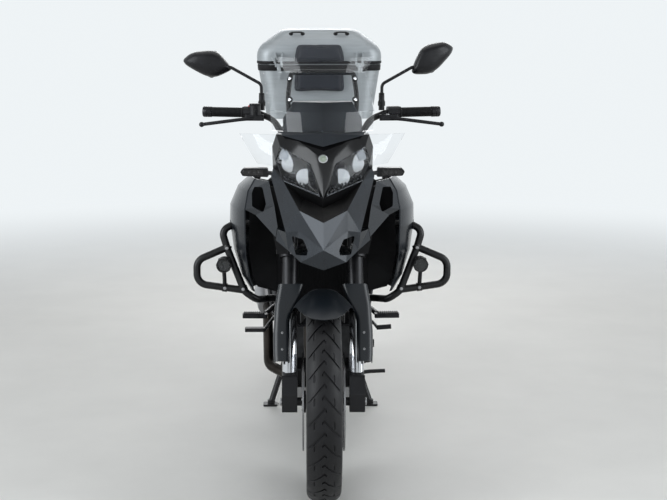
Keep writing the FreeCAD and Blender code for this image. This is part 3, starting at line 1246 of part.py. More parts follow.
def side_stand():
    """Folded side stand on the left."""
    pivot = SIDE_STAND_PIVOT
    leg = rod([(pivot.x + 1, pivot.y + 8, pivot.z + 1), (pivot.x + 2, pivot.y + 120, pivot.z + 4),
               (pivot.x + 10, pivot.y + 236, pivot.z + 2)], 9, 60)
    boss = bar(pivot - SIDE_STAND_AXIS * 8, pivot + SIDE_STAND_AXIS * 10, 17)
    foot = plate_x([(pivot.y + 226, pivot.z - 14), (pivot.y + 250, pivot.z - 10),
                    (pivot.y + 250, pivot.z + 16), (pivot.y + 226, pivot.z + 18)],
                   pivot.x - 12, pivot.x + 34, 4)
    bore = bar(pivot - SIDE_STAND_AXIS * 30, pivot + SIDE_STAND_AXIS * 30, SIDE_STAND_PIN + RUNNING_FIT)
    return fused([leg, boss, foot]).cut(bore)


PARTS = {
    "main_frame": main_frame,
    "engine": engine,
    "radiator": radiator,
    "fuel_tank": fuel_tank,
    "rider_seat": rider_seat,
    "pillion_seat": pillion_seat,
    "side_fairings": side_fairings,
    "nose_beak": nose_beak,
    "headlamps": headlamps,
    "instrument_cluster": instrument_cluster,
    "windscreen": windscreen,
    "indicators": indicators,
    "crash_bars": crash_bars,
    "fog_lamps": fog_lamps,
    "skid_plate": skid_plate,
    "exhaust_headers": exhaust_headers,
    "silencer": silencer,
    "swingarm": swingarm,
    "rear_shock": rear_shock,
    "chain": chain,
    "foot_controls": foot_controls,
    "rack": rack,
    "top_box_body": top_box_body,
    "backrest_lower": backrest_lower,
    "tail_unit": tail_unit,
    "rear_hugger": rear_hugger,
    "side_panels": side_panels,
    "fork_tubes": fork_tubes,
    "fork_lowers": fork_lowers,
    "triple_clamps": triple_clamps,
    "handlebar": handlebar,
    "grips": grips,
    "controls": controls,
    "mirrors": mirrors,
    "front_fender": front_fender,
    "front_calipers": front_calipers,
    "front_rim": front_rim,
    "front_tyre": front_tyre,
    "front_discs": front_discs,
    "rear_rim": rear_rim,
    "rear_tyre": rear_tyre,
    "rear_disc": rear_disc,
    "rear_sprocket": rear_sprocket,
    "centre_stand": centre_stand,
    "side_stand": side_stand,
    "top_box_lid": top_box_lid,
    "backrest_upper": backrest_upper,
}

os.makedirs("parts", exist_ok=True)
for name, make in PARTS.items():
    made = make()
    shape = Part.makeCompound(made) if isinstance(made, list) else made
    shape.translate(TO_MIDDLE)
    shape.exportStep("parts/" + name + ".step")
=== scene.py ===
import math

import bmesh
import bpy
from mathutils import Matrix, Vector
from mathutils.bvhtree import BVHTree
from mathutils.kdtree import KDTree


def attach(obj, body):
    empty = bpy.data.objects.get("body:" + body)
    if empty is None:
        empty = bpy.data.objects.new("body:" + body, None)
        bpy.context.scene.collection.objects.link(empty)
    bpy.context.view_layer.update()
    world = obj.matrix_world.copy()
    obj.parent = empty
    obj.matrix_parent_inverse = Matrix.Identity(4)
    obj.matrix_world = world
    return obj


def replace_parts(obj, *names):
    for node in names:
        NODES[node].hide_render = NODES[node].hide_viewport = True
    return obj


# Looks of an adventure motorcycle with a top box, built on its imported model. Metres in Blender,
# millimetres in this file's own tables. X is the rider's left, Y the rear and Z up.

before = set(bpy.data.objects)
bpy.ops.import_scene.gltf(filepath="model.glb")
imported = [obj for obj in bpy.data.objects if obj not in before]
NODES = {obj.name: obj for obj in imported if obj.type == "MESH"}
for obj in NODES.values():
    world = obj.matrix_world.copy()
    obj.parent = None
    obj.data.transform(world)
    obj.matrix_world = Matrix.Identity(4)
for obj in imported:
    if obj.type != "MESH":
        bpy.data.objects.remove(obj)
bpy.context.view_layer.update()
MM = 0.001

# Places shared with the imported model
FRONT_AXLE = (0, -770.7, 329.3)
REAR_AXLE = (0, 749.3, 352.9)
FRONT_RIM_RADIUS = 241.3
REAR_RIM_RADIUS = 215.9
STEER_UP = Vector((0, 0.41469, 0.90996))
STEER_AHEAD = Vector((0, -0.90996, 0.41469))
STEER_GROUND = Vector((0, -875.7, 0))
AXLE_ALONG_AXIS = 343.2
FORK_OFFSET = 41.1
FORK_HALF_SPACING = 110.0
CLAMP_TOP = 422.0
AHEAD = (0, -1, 0)

# Camera where the photograph was taken from
CAMERA_PLACE = (-0.0479, -5.1554, 1.5963)
CAMERA_DOWN = 9.903
CAMERA_TURN = -1.056
SENSOR_WIDTH = 36.0
FOCAL_SHARE = 1390.9 / 667.0


def make_camera():
    """The scene's camera."""
    data = bpy.data.cameras.new("camera")
    data.sensor_fit = "HORIZONTAL"
    data.sensor_width = SENSOR_WIDTH
    data.lens = SENSOR_WIDTH * FOCAL_SHARE
    data.clip_end = 100.0
    camera = bpy.data.objects.new("camera", data)
    camera.location = CAMERA_PLACE
    camera.rotation_euler = (math.radians(90 - CAMERA_DOWN), 0.0, math.radians(CAMERA_TURN))
    bpy.context.scene.collection.objects.link(camera)
    bpy.context.scene.camera = camera


make_camera()
bpy.context.scene.view_settings.view_transform = "Standard"


# Materials


def feed(tree, node, inputs):
    """Gives a node's inputs their values, or links them to other nodes' outputs."""
    for name, value in inputs.items():
        if isinstance(value, bpy.types.NodeSocket):
            tree.links.new(value, node.inputs[name])
        else:
            node.inputs[name].default_value = value


def add_node(tree, kind, inputs, **settings):
    """New shader node with its settings and inputs."""
    node = tree.nodes.new("ShaderNode" + kind)
    for name, value in settings.items():
        setattr(node, name, value)
    feed(tree, node, inputs)
    return node


def empty_tree(owner):
    """Emptied node tree of a material or world."""
    owner.use_nodes = True
    owner.node_tree.nodes.clear()
    return owner.node_tree


def new_material(name):
    """Node material with a Principled shader joined to its output."""
    material = bpy.data.materials.new(name)
    tree = empty_tree(material)
    shader = add_node(tree, "BsdfPrincipled", {})
    add_node(tree, "OutputMaterial", {"Surface": shader.outputs["BSDF"]})
    return material, tree, shader


def noise(tree, coordinates, scale, detail=4.0, rough=0.55):
    """Noise texture on the given coordinates."""
    inputs = {"Scale": scale, "Detail": detail, "Roughness": rough, "Vector": coordinates}
    return add_node(tree, "TexNoise", inputs).outputs["Fac"]


def maths(tree, operation, first, second):
    """Result of an operation on two values or outputs."""
    return add_node(tree, "Math", {0: first, 1: second}, operation=operation).outputs["Value"]


def ramp(tree, value, low, high):
    """Colour ramp between two (place, colour) stops."""
    node = add_node(tree, "ValToRGB", {"Fac": value})
    for element, (place, colour) in zip(node.color_ramp.elements, (low, high)):
        element.position = place
        element.color = (*colour, 1.0)
    return node.outputs["Color"]


def shade(colour, factor):
    """Colour made lighter or darker."""
    return tuple(min(1.0, c * factor) for c in colour)


def mottled(tree, value, colour, amount, low=0.3):
    """Colour that a noise makes a little darker and lighter."""
    return ramp(tree, value, (low, shade(colour, 1 - amount)), (1 - low, shade(colour, 1 + amount)))


def spread(tree, value, low, high, first=0.3, last=0.7):
    """Value from first..last spread over low..high."""
    inputs = {"From Min": first, "From Max": last, "To Min": low, "To Max": high, "Value": value}
    return add_node(tree, "MapRange", inputs).outputs["Result"]


def bump(tree, shader, height, strength, distance):
    """Adds a bump on top of what the shader's normal already has."""
    node = add_node(tree, "Bump", {"Strength": strength, "Distance": distance, "Height": height})
    if shader.inputs["Normal"].is_linked:
        tree.links.new(shader.inputs["Normal"].links[0].from_socket, node.inputs["Normal"])
    tree.links.new(node.outputs["Normal"], shader.inputs["Normal"])


def object_place(tree, stretch=(1, 1, 1)):
    """Object coordinates, stretched."""
    place = add_node(tree, "TexCoord", {}).outputs["Object"]
    return add_node(tree, "Mapping", {"Scale": stretch, "Vector": place}).outputs["Vector"]


DUST = (0.30, 0.28, 0.25, 1.0)


def dust_on_top(tree, colour, amount):
    """Thin dust on faces that look up, broken by noise."""
    normal = add_node(tree, "NewGeometry", {}).outputs["Normal"]
    up = add_node(tree, "SeparateXYZ", {"Vector": normal}).outputs["Z"]
    facing = spread(tree, up, 0.0, amount, 0.35, 1.0)
    patches = spread(tree, noise(tree, object_place(tree), 14.0), 0.2, 1.0)
    share = maths(tree, "MULTIPLY", facing, patches)
    inputs = {"Factor": share, "A": colour, "B": DUST}
    return add_node(tree, "Mix", inputs, data_type="RGBA").outputs["Result"]


def surface(name, colour, rough, metallic=0.0, mottle=0.12, mottle_scale=22.0, grain=0.12,
            grain_scale=900.0, grain_depth=0.0004, coat=0.0, stretch=(1, 1, 1), dust=0.0,
            rough_range=0.08, specular=0.5):
    """General finish: mottled colour, uneven gloss and a fine grain."""
    material, tree, shader = new_material(name)
    place = object_place(tree, stretch)
    broad = noise(tree, place, mottle_scale, 6.0)
    paint = mottled(tree, broad, colour, mottle)
    if dust:
        paint = dust_on_top(tree, paint, dust)
    gloss = spread(tree, broad, max(0.02, rough - rough_range), min(1.0, rough + rough_range))
    feed(tree, shader, {"Base Color": paint, "Roughness": gloss, "Metallic": metallic, "Coat Weight": coat,
                        "Specular IOR Level": specular, "Coat Roughness": 0.06})
    bump(tree, shader, noise(tree, place, grain_scale, 3.0), grain, grain_depth)
    return material


def brushed(name, colour, rough, centre):
    """Turned metal: fine rings round a wheel's axle."""
    material, tree, shader = new_material(name)
    flat = add_node(tree, "VectorMath", {0: object_place(tree), 1: (0, 1, 1)}, operation="MULTIPLY")
    middle = (0, centre[1] * MM, centre[2] * MM)
    apart = add_node(tree, "VectorMath", {0: flat.outputs["Vector"], 1: middle}, operation="DISTANCE")
    inputs = {"Scale": 900.0, "Detail": 5.0, "W": apart.outputs["Value"]}
    rings = add_node(tree, "TexNoise", inputs, noise_dimensions="1D").outputs["Fac"]
    feed(tree, shader, {"Base Color": mottled(tree, rings, colour, 0.1, 0.35), "Metallic": 1.0,
                        "Roughness": spread(tree, rings, rough - 0.08, rough + 0.1)})
    bump(tree, shader, rings, 0.18, 0.0003)
    return material


def clear(name, tint, rough, ior=1.45, scratch=0.03, specular=0.5):
    """Clear or tinted plastic with faint scratches."""
    material, tree, shader = new_material(name)
    place = object_place(tree, (1.0, 1.0, 9.0))
    marks = noise(tree, place, 60.0, 8.0, 0.7)
    feed(tree, shader, {"Base Color": ramp(tree, marks, (0.3, shade(tint, 0.96)), (0.7, tint)),
                        "Roughness": spread(tree, marks, rough, rough + scratch), "IOR": ior,
                        "Transmission Weight": 1.0, "Specular IOR Level": specular})
    bump(tree, shader, noise(tree, place, 900.0), 0.01, 0.0001)
    return material


def leather(name, colour, rough, scale, depth):
    """Grained vinyl: cells with a finer grain on them."""
    material, tree, shader = new_material(name)
    place = object_place(tree)
    cells = add_node(tree, "TexVoronoi", {"Scale": scale, "Vector": place}, feature="DISTANCE_TO_EDGE")
    broad = noise(tree, place, 18.0, 5.0)
    paint = dust_on_top(tree, mottled(tree, broad, colour, 0.15), 0.04)
    feed(tree, shader, {"Base Color": paint, "Specular IOR Level": 0.3,
                        "Roughness": spread(tree, broad, rough - 0.06, rough + 0.08)})
    bump(tree, shader, cells.outputs["Distance"], 0.5, depth)
    bump(tree, shader, noise(tree, place, scale * 3.0), 0.15, depth)
    return material


def fork_leg():
    """Hard chrome tube above the black axle clamp, split by height."""
    material, tree, shader = new_material("fork_leg_chrome")
    place = object_place(tree)
    height = add_node(tree, "SeparateXYZ", {"Vector": place}).outputs["Z"]
    above = maths(tree, "GREATER_THAN", height, CLAMP_TOP * MM)
    paint = ramp(tree, above, (0.0, (0.014, 0.014, 0.016)), (1.0, (0.60, 0.61, 0.63)))
    gloss = ramp(tree, above, (0.0, (0.34, 0.34, 0.34)), (1.0, (0.10, 0.10, 0.10)))
    feed(tree, shader, {"Base Color": paint, "Roughness": gloss, "Metallic": above,
                        "Specular IOR Level": 0.3})
    bump(tree, shader, noise(tree, place, 700.0), 0.12, 0.0003)
    return material


MATERIALS = {
    "paint": surface("paint_graphite", (0.016, 0.020, 0.026), 0.27, metallic=0.50, mottle=0.2,
                     mottle_scale=9.0, grain=0.05, grain_scale=2600.0, coat=0.3, dust=0.02,
                     rough_range=0.05, specular=0.35),
    "gloss": surface("plastic_gloss_black", (0.005, 0.005, 0.006), 0.12, mottle=0.1, grain=0.03, dust=0.03,
                     rough_range=0.05, specular=0.4),
    "matte": surface("plastic_matte_black", (0.010, 0.010, 0.011), 0.55, mottle=0.25, grain=0.5,
                     grain_scale=1500.0, dust=0.06, rough_range=0.1, specular=0.2),
    "mudguard": surface("plastic_mudguard", (0.009, 0.012, 0.016), 0.29, mottle_scale=7.0, grain=0.06,
                        grain_scale=2200.0, rough_range=0.04),
    "cowl": surface("plastic_cowl", (0.016, 0.020, 0.026), 0.52, metallic=0.2, grain=0.2,
                    grain_scale=1500.0, dust=0.03, rough_range=0.05, specular=0.3),
    "satin": surface("plastic_satin_black", (0.009, 0.009, 0.011), 0.34, mottle=0.2, grain=0.2,
                     grain_scale=1200.0, dust=0.05, specular=0.3),
    "powder": surface("steel_powder_coat", (0.009, 0.009, 0.010), 0.30, mottle=0.15, grain=0.35,
                      grain_scale=700.0, grain_depth=0.0005, dust=0.05, specular=0.35),
    "frame": surface("steel_frame_black", (0.010, 0.010, 0.011), 0.36, mottle=0.2, grain=0.3,
                     grain_scale=650.0, dust=0.12, specular=0.3),
    "engine": surface("cast_alloy_grey", (0.060, 0.061, 0.064), 0.46, metallic=0.7, mottle=0.25,
                      mottle_scale=30.0, grain=0.7, grain_scale=420.0, grain_depth=0.0009, dust=0.1),
    "alloy": surface("alloy_satin", (0.50, 0.50, 0.51), 0.33, metallic=1.0, grain=0.25, grain_scale=800.0,
                     rough_range=0.1),
    "alloy_black": surface("alloy_anodised_black", (0.016, 0.016, 0.018), 0.32, metallic=0.5, mottle=0.2,
                           grain=0.2),
    "box_silver": surface("alloy_box_silver", (0.37, 0.395, 0.41), 0.50, metallic=0.62, mottle=0.10,
                          mottle_scale=8.0, grain=0.25, grain_scale=600.0, stretch=(1, 1, 12), dust=0.03),
    "chrome": surface("steel_chrome", (0.66, 0.67, 0.69), 0.10, metallic=1.0, mottle=0.06, grain=0.05,
                      rough_range=0.04),
    "steel": surface("steel_zinc", (0.42, 0.42, 0.43), 0.30, metallic=1.0, mottle=0.2, grain=0.3,
                     rough_range=0.1),
    "silencer": surface("steel_silencer_satin", (0.34, 0.34, 0.35), 0.30, metallic=1.0, mottle=0.05,
                        mottle_scale=9.0, grain=0.06, rough_range=0.025),
    "shock": surface("steel_shock_enamel", (0.075, 0.076, 0.080), 0.32, mottle=0.08, grain=0.1,
                     rough_range=0.04),
    "chain": surface("steel_chain_oiled", (0.15, 0.135, 0.11), 0.36, metallic=0.9, mottle=0.4,
                     mottle_scale=120.0, grain=0.5, grain_scale=1400.0),
    "exhaust": surface("steel_heat_tinted", (0.040, 0.035, 0.031), 0.38, metallic=1.0, mottle=0.35,
                       mottle_scale=9.0, grain=0.2, grain_scale=500.0),
    "fork_leg": fork_leg(),
    "rubber": surface("rubber_moulded", (0.010, 0.010, 0.011), 0.60, mottle=0.25, grain=0.5,
                      grain_scale=1100.0, dust=0.06, rough_range=0.1, specular=0.25),
    "tyre": surface("rubber_tyre", (0.010, 0.010, 0.0115), 0.46, mottle=0.3, mottle_scale=26.0, grain=0.55,
                    grain_scale=1000.0, grain_depth=0.0005, dust=0.04, rough_range=0.1, specular=0.3),
    "seat": leather("vinyl_seat", (0.011, 0.011, 0.012), 0.44, 620.0, 0.0004),
    "pad": leather("vinyl_pad_grey", (0.016, 0.019, 0.027), 0.50, 760.0, 0.0003),
    "screen": clear("polycarbonate_clear", (0.965, 0.975, 0.985), 0.01, 1.30, 0.015, 0.12),
    "lens": clear("lens_clear", (0.97, 0.98, 0.985), 0.01, 1.30, 0.01, 0.35),
    "lamp_cover": clear("lens_lamp_cover", (0.95, 0.965, 0.975), 0.01, 1.20, 0.01, 0.2),
    "lens_smoke": clear("lens_smoke", (0.45, 0.42, 0.40), 0.05),
    "lens_red": clear("lens_red", (0.55, 0.012, 0.012), 0.06),
    "lens_amber": clear("lens_amber", (0.80, 0.26, 0.03), 0.06),
    "reflector": surface("reflector_silver", (0.085, 0.09, 0.097), 0.22, metallic=1.0, mottle=0.1, grain=0.1),
    "lamp_bowl": surface("lamp_bowl_dark", (0.012, 0.013, 0.015), 0.3, metallic=0.6, mottle=0.15, grain=0.1),
    "lamp_dark": surface("lamp_bezel_dark", (0.008, 0.008, 0.010), 0.30, mottle=0.2, grain=0.1,
                         specular=0.25),
    "mirror": surface("mirror_glass", (0.78, 0.80, 0.82), 0.02, metallic=1.0, mottle=0.02, grain=0.0,
                      rough_range=0.01),
    "glass_black": surface("display_glass", (0.010, 0.011, 0.012), 0.05, coat=0.5, mottle=0.05, grain=0.0,
                           rough_range=0.02),
    "white": surface("plate_white", (0.62, 0.62, 0.60), 0.34, mottle=0.015, mottle_scale=8.0, grain=0.05,
                     rough_range=0.03),
    "ivory": surface("badge_pale", (0.40, 0.46, 0.38), 0.25, metallic=0.3, mottle=0.08, grain=0.1, coat=0.6),
    "red": surface("plastic_red", (0.55, 0.03, 0.03), 0.30, mottle=0.1, grain=0.1),
    "reservoir": surface("plastic_reservoir_grey", (0.10, 0.10, 0.10), 0.36, mottle=0.2, grain=0.2),
    "disc_front": brushed("steel_disc_front", (0.34, 0.34, 0.35), 0.26, FRONT_AXLE),
    "disc_rear": brushed("steel_disc_rear", (0.34, 0.34, 0.35), 0.26, REAR_AXLE),
    "thread": surface("thread_grey", (0.16, 0.16, 0.17), 0.7, mottle=0.2, grain=0.4),
    "core": surface("radiator_core_black", (0.007, 0.007, 0.008), 0.6, mottle=0.2, grain=0.4,
                    grain_scale=500.0, dust=0.03, specular=0.15),
}

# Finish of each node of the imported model
FINISHES = {
    "frame": "main_frame", "engine": "engine", "core": "radiator", "cowl": "instrument_cluster",
    "paint": "fuel_tank side_fairings nose_beak",
    "screen": "windscreen", "alloy": "skid_plate", "exhaust": "exhaust_headers",
    "silencer": "silencer", "shock": "rear_shock", "chain": "chain", "matte": "tail_unit rear_hugger",
    "satin": "indicators side_panels controls mirrors front_fender", "lamp_dark": "headlamps",
    "powder": "crash_bars rack centre_stand side_stand", "box_silver": "top_box_body top_box_lid",
    "alloy_black": "fog_lamps swingarm foot_controls fork_tubes triple_clamps handlebar front_calipers "
                   "front_rim rear_rim",
    "fork_leg": "fork_lowers", "disc_front": "front_discs", "disc_rear": "rear_disc",
    "steel": "rear_sprocket", "seat": "rider_seat pillion_seat", "pad": "backrest_lower backrest_upper",
    "rubber": "grips", "tyre": "front_tyre rear_tyre",
}
for finish, node_names in FINISHES.items():
    for node_name in node_names.split():
        for material_slot in NODES[node_name].material_slots:
            material_slot.material = MATERIALS[finish]


# Building pieces


def add_object(name, data, key, body):
    """Links new object data, gives it its finish and lets it ride."""
    made = bpy.data.objects.new(name, data)
    bpy.context.scene.collection.objects.link(made)
    data.materials.append(MATERIALS[key])
    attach(made, body)
    return made


def mesh_piece(name, points, faces, key, body="chassis", sharp=35, bevel=0.0):
    """Mesh object from points in millimetres."""
    data = bpy.data.meshes.new(name)
    data.from_pydata([tuple(c * MM for c in p) for p in points], [], faces)
    work = bmesh.new()
    work.from_mesh(data)
    bmesh.ops.recalc_face_normals(work, faces=work.faces)
    work.to_mesh(data)
    work.free()
    data.polygons.foreach_set("use_smooth", [True] * len(data.polygons))
    data.set_sharp_from_angle(angle=math.radians(sharp))
    made = add_object(name, data, key, body)
    if bevel:
        modifier = made.modifiers.new("edges", "BEVEL")
        modifier.width = bevel * MM
        modifier.segments = 2
        modifier.limit_method = "ANGLE"
        modifier.angle_limit = math.radians(30)
    return made


def joined(name, parts, key, body="chassis", sharp=35, bevel=0.0):
    """One piece from several (points, faces) pairs."""
    points = []
    faces = []
    for part_points, part_faces in parts:
        base = len(points)
        points += [Vector(p) for p in part_points]
        faces += [tuple(base + i for i in face) for face in part_faces]
    return mesh_piece(name, points, faces, key, body, sharp, bevel)


def grid_faces(rows, count, base=0, ring=True, wrap=False):
    """Quads between rows of points; rows close to rings, and with wrap the last one joins the first."""
    faces = []
    for row in range(rows if wrap else rows - 1):
        low = base + row * count
        high = base + (row + 1) % rows * count
        for index in range(count if ring else count - 1):
            after = (index + 1) % count
            faces.append((low + index, low + after, high + after, high + index))
    return faces


def ends_of(rows, count):
    """The first and the last ring of a grid, as two faces."""
    last = (rows - 1) * count
    return [tuple(range(count)), tuple(range(last, last + count))]


def on_circle(index, count, radius=1.0, start=0.0):
    """Sine and cosine of a step round a circle, times its radius."""
    angle = start + 2 * math.pi * index / count
    return radius * math.sin(angle), radius * math.cos(angle)


def lathe_mesh(profile, origin, axis, segments=32):
    """Points and faces of (radius, height) pairs turned round an axis."""
    turn = Vector((0, 0, 1)).rotation_difference(Vector(axis).normalized()).to_matrix()
    points = []
    for radius, height in profile:
        for index in range(segments):
            y, x = on_circle(index, segments, radius)
            points.append(Vector(origin) + turn @ Vector((x, y, height)))
    faces = grid_faces(len(profile), segments)
    first, last = ends_of(len(profile), segments)
    if profile[0][0] > 0.01:
        faces.append(first[::-1])
    if profile[-1][0] > 0.01:
        faces.append(last)
    return points, faces


def lathe(name, profile, origin, axis, key, body="chassis", segments=32, sharp=35):
    """Turned piece."""
    return joined(name, [lathe_mesh(profile, origin, axis, segments)], key, body, sharp)


def slab_mesh(outline, normal_axis, low, high):
    """Points and faces of an outline extruded along X, Y or Z (0, 1 or 2)."""
    points = []
    for level in (low, high):
        for pair in outline:
            place = list(pair)
            place.insert(normal_axis, level)
            points.append(tuple(place))
    return points, ends_of(2, len(outline)) + grid_faces(2, len(outline))


def block_mesh(xs, ys, zs):
    """Points and faces of a block between its low and high planes."""
    return slab_mesh([(xs[0], zs[0]), (xs[1], zs[0]), (xs[1], zs[1]), (xs[0], zs[1])], 1, *ys)


def tube(name, places, radius, key, body="chassis"):
    """Round bar or wire along a smooth line through the places."""
    data = bpy.data.curves.new(name, "CURVE")
    data.dimensions = "3D"
    data.bevel_depth = radius * MM
    data.bevel_resolution = 4
    data.resolution_u = 10
    data.use_fill_caps = True
    spline = data.splines.new("NURBS")
    spline.points.add(len(places) - 1)
    for point, place in zip(spline.points, places):
        point.co = (*[c * MM for c in place], 1.0)
    spline.order_u = 3
    spline.use_endpoint_u = True
    return add_object(name, data, key, body)


def on_axis(x, along, ahead):
    """Point from its place along and ahead of the steering axis."""
    place = STEER_GROUND + STEER_UP * along + STEER_AHEAD * ahead
    return Vector((x, place.y, place.z))


def side_name(side):
    """Name of the side at +X or -X."""
    return "left" if side > 0 else "right"


BOLT_HEAD = [(0.0, 0.62), (0.36, 0.62), (0.36, 0.95), (0.55, 1.0), (0.85, 0.86), (1.0, 0.5), (1.0, 0.0)]
BOLT_HEIGHT = 0.62


def bolts(name, places, body, key="steel"):
    """Button-head bolts with sockets and washers: (place, axis, radius) each."""
    parts = []
    for place, axis, radius in places:
        head = [(share * radius, height * radius * BOLT_HEIGHT) for share, height in BOLT_HEAD]
        washer = [(radius * 1.3, -0.2), (radius * 1.3, 0.8), (radius * 0.9, 0.9)]
        parts += [lathe_mesh(profile, place, axis, 18) for profile in (head, washer)]
    joined(name, parts, key, body)


# Tyres with their tread

GROOVE_HALF = 3.9
GROOVE_SLOPE = 1.2
GROOVE_DEPTH = 4.0
SIPE_DEPTH = 2.6
WALL_RIDGE = 0.5


def arc_points(first, middle, last, count):
    """Points of the circular arc through three points."""
    ax, ay = first
    bx, by = middle
    cx, cy = last
    d = 2 * (ax * (by - cy) + bx * (cy - ay) + cx * (ay - by))
    a2, b2, c2 = ax * ax + ay * ay, bx * bx + by * by, cx * cx + cy * cy
    ux = (a2 * (by - cy) + b2 * (cy - ay) + c2 * (ay - by)) / d
    uy = (a2 * (cx - bx) + b2 * (ax - cx) + c2 * (bx - ax)) / d
    start = math.atan2(ay - uy, ax - ux)
    via = math.atan2(by - uy, bx - ux)
    turn = (math.atan2(cy - uy, cx - ux) - start) % (2 * math.pi)
    if (via - start) % (2 * math.pi) > turn:
        turn -= 2 * math.pi
    radius = math.hypot(ax - ux, ay - uy)
    angles = [start + turn * i / (count - 1) for i in range(count)]
    return [(ux + radius * math.cos(angle), uy + radius * math.sin(angle)) for angle in angles]


def tyre_piece(name, node, axle, rim_radius, height, width, bead, pitches, body):
    """Tyre whose mesh rows follow the slanted grooves, so their edges are crisp."""
    outer = rim_radius + height
    reach = width * 0.47
    shoulder = rim_radius + height * 0.72
    widest = rim_radius + height * 0.45
    wall = arc_points((-bead, rim_radius + 16), (-width / 2, widest), (-reach, shoulder), 12)
    top = arc_points((-reach, shoulder), (0, outer), (reach, shoulder), 49)
    profile = [(-bead, rim_radius + 1)] + wall + top[1:-1] + [(-x, r) for x, r in reversed(wall)]
    profile.append((bead, rim_radius + 1))
    pitch = 2 * math.pi * outer / pitches
    left_at = pitch - 4.75
    right_at = pitch / 2 - 3.8
    sipe_at = (left_at + right_at) / 2
    rows = set()
    for centre in (left_at, right_at):
        for step in (-GROOVE_HALF - 1.1, -GROOVE_HALF, GROOVE_HALF, GROOVE_HALF + 1.1):
            rows.add(round((centre + step) % pitch, 4))
    for index in range(20):
        place = pitch * index / 20
        if min(abs(place - row) for row in rows) > 1.6:
            rows.add(round(place, 4))
    points = []
    for turn in range(pitches):
        for row in sorted(rows):
            for x, radius in profile:
                share = abs(x) / reach
                lift = 0.0
                if share < 0.985:
                    fade = min(1.0, (1.0 - share) * 6)
                    on_left = x < 6 and abs(row - left_at) < GROOVE_HALF + 0.2
                    on_right = x > -6 and abs(row - right_at) < GROOVE_HALF + 0.2
                    if on_left or on_right:
                        lift = -GROOVE_DEPTH * fade
                    if 0.55 < share < 0.61 and abs(row - sipe_at) < 11.0:
                        lift = -SIPE_DEPTH
                else:
                    up = (radius - rim_radius) / height
                    lift = WALL_RIDGE if 0.30 < up < 0.34 or 0.58 < up < 0.62 else 0.0
                angle = (turn * pitch + row - GROOVE_SLOPE * min(abs(x), reach)) / outer
                r = radius + lift
                points.append((axle[0] + x, axle[1] - r * math.cos(angle), axle[2] + r * math.sin(angle)))
    faces = grid_faces(pitches * len(rows), len(profile), ring=False, wrap=True)
    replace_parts(mesh_piece(name, points, faces, "tyre", body, sharp=32), node)


tyre_piece("front_tyre_tread", "front_tyre", FRONT_AXLE, FRONT_RIM_RADIUS, 88.0, 110.0, 31.7, 28,
           "front_wheel")
tyre_piece("rear_tyre_tread", "rear_tyre", REAR_AXLE, REAR_RIM_RADIUS, 105.0, 150.0, 53.7, 26,
           "rear_wheel")


# Soft pieces


def pad_mesh(name, sections, body, key, power=5.0, around=40):
    """Closed cushion form through sections of y, half width low and top, bottom z and top z."""
    points = []
    for y, low, top, z_low, z_top in sections:
        middle = (z_low + z_top) / 2
        tall = (z_top - z_low) / 2
        for index in range(around):
            angle = 2 * math.pi * index / around
            across = math.copysign(abs(math.cos(angle)) ** (2 / power), math.cos(angle))
            up = math.copysign(abs(math.sin(angle)) ** (2 / power), math.sin(angle))
            half = low + (top - low) * (up + 1) / 2
            points.append((half * across, y, middle + tall * up))
    faces = grid_faces(len(sections), around) + ends_of(len(sections), around)
    return mesh_piece(name, points, faces, key, body, sharp=80)


def settled(piece):
    """Mesh of a piece with its modifiers applied."""
    graph = bpy.context.evaluated_depsgraph_get()
    return bpy.data.meshes.new_from_object(piece.evaluated_get(graph))


def swell(piece, voxel, cap, keep_below, pressure=4.0, frames=20):
    """Fills a pad by cloth pressure: no point moves further than cap, and its underside stays flat."""
    even = piece.modifiers.new("even", "REMESH")
    even.mode = "VOXEL"
    even.voxel_size = voxel * MM
    start = settled(piece)
    piece.modifiers.clear()
    piece.data = start
    still = [vertex.co.copy() for vertex in start.vertices]
    cloth = piece.modifiers.new("cloth", "CLOTH")
    cloth.settings.use_pressure = True
    cloth.settings.uniform_pressure_force = pressure
    cloth.settings.effector_weights.gravity = 0
    cloth.settings.quality = 4
    cloth.point_cache.frame_start = 1
    cloth.point_cache.frame_end = frames
    scene = bpy.context.scene
    for number in range(1, frames + 1):
        scene.frame_set(number)
    swollen = settled(piece)
    piece.modifiers.clear()
    scene.frame_set(1)
    for vertex, first in zip(swollen.vertices, still):
        moved = vertex.co - first
        if moved.length > cap * MM:
            moved = moved.normalized() * cap * MM
        share = min(1.0, max(0.0, (first.z / MM - keep_below) / 12.0))
        vertex.co = first + moved * share
    piece.data = swollen


def finer(piece):
    """One level of subdivision, applied."""
    smooth = piece.modifiers.new("smooth", "SUBSURF")
    smooth.levels = 1
    smooth.render_levels = 1
    rounded_mesh = settled(piece)
    piece.modifiers.clear()
    piece.data = rounded_mesh
    rounded_mesh.polygons.foreach_set("use_smooth", [True] * len(rounded_mesh.polygons))


def on_surface(piece, path, spacing):
    """Points and normals on the piece under a path, one every spacing millimetres."""
    data = piece.data
    tree = BVHTree.FromPolygons([v.co for v in data.vertices], [p.vertices for p in data.polygons])
    places = []
    for before, after in zip(path, path[1:]):
        run = Vector(after) - Vector(before)
        steps = max(1, round(run.length / spacing))
        places += [(Vector(before) + run * index / steps) * MM for index in range(steps)]
    places.append(Vector(path[-1]) * MM)
    return [tree.find_nearest(place)[:2] for place in places]


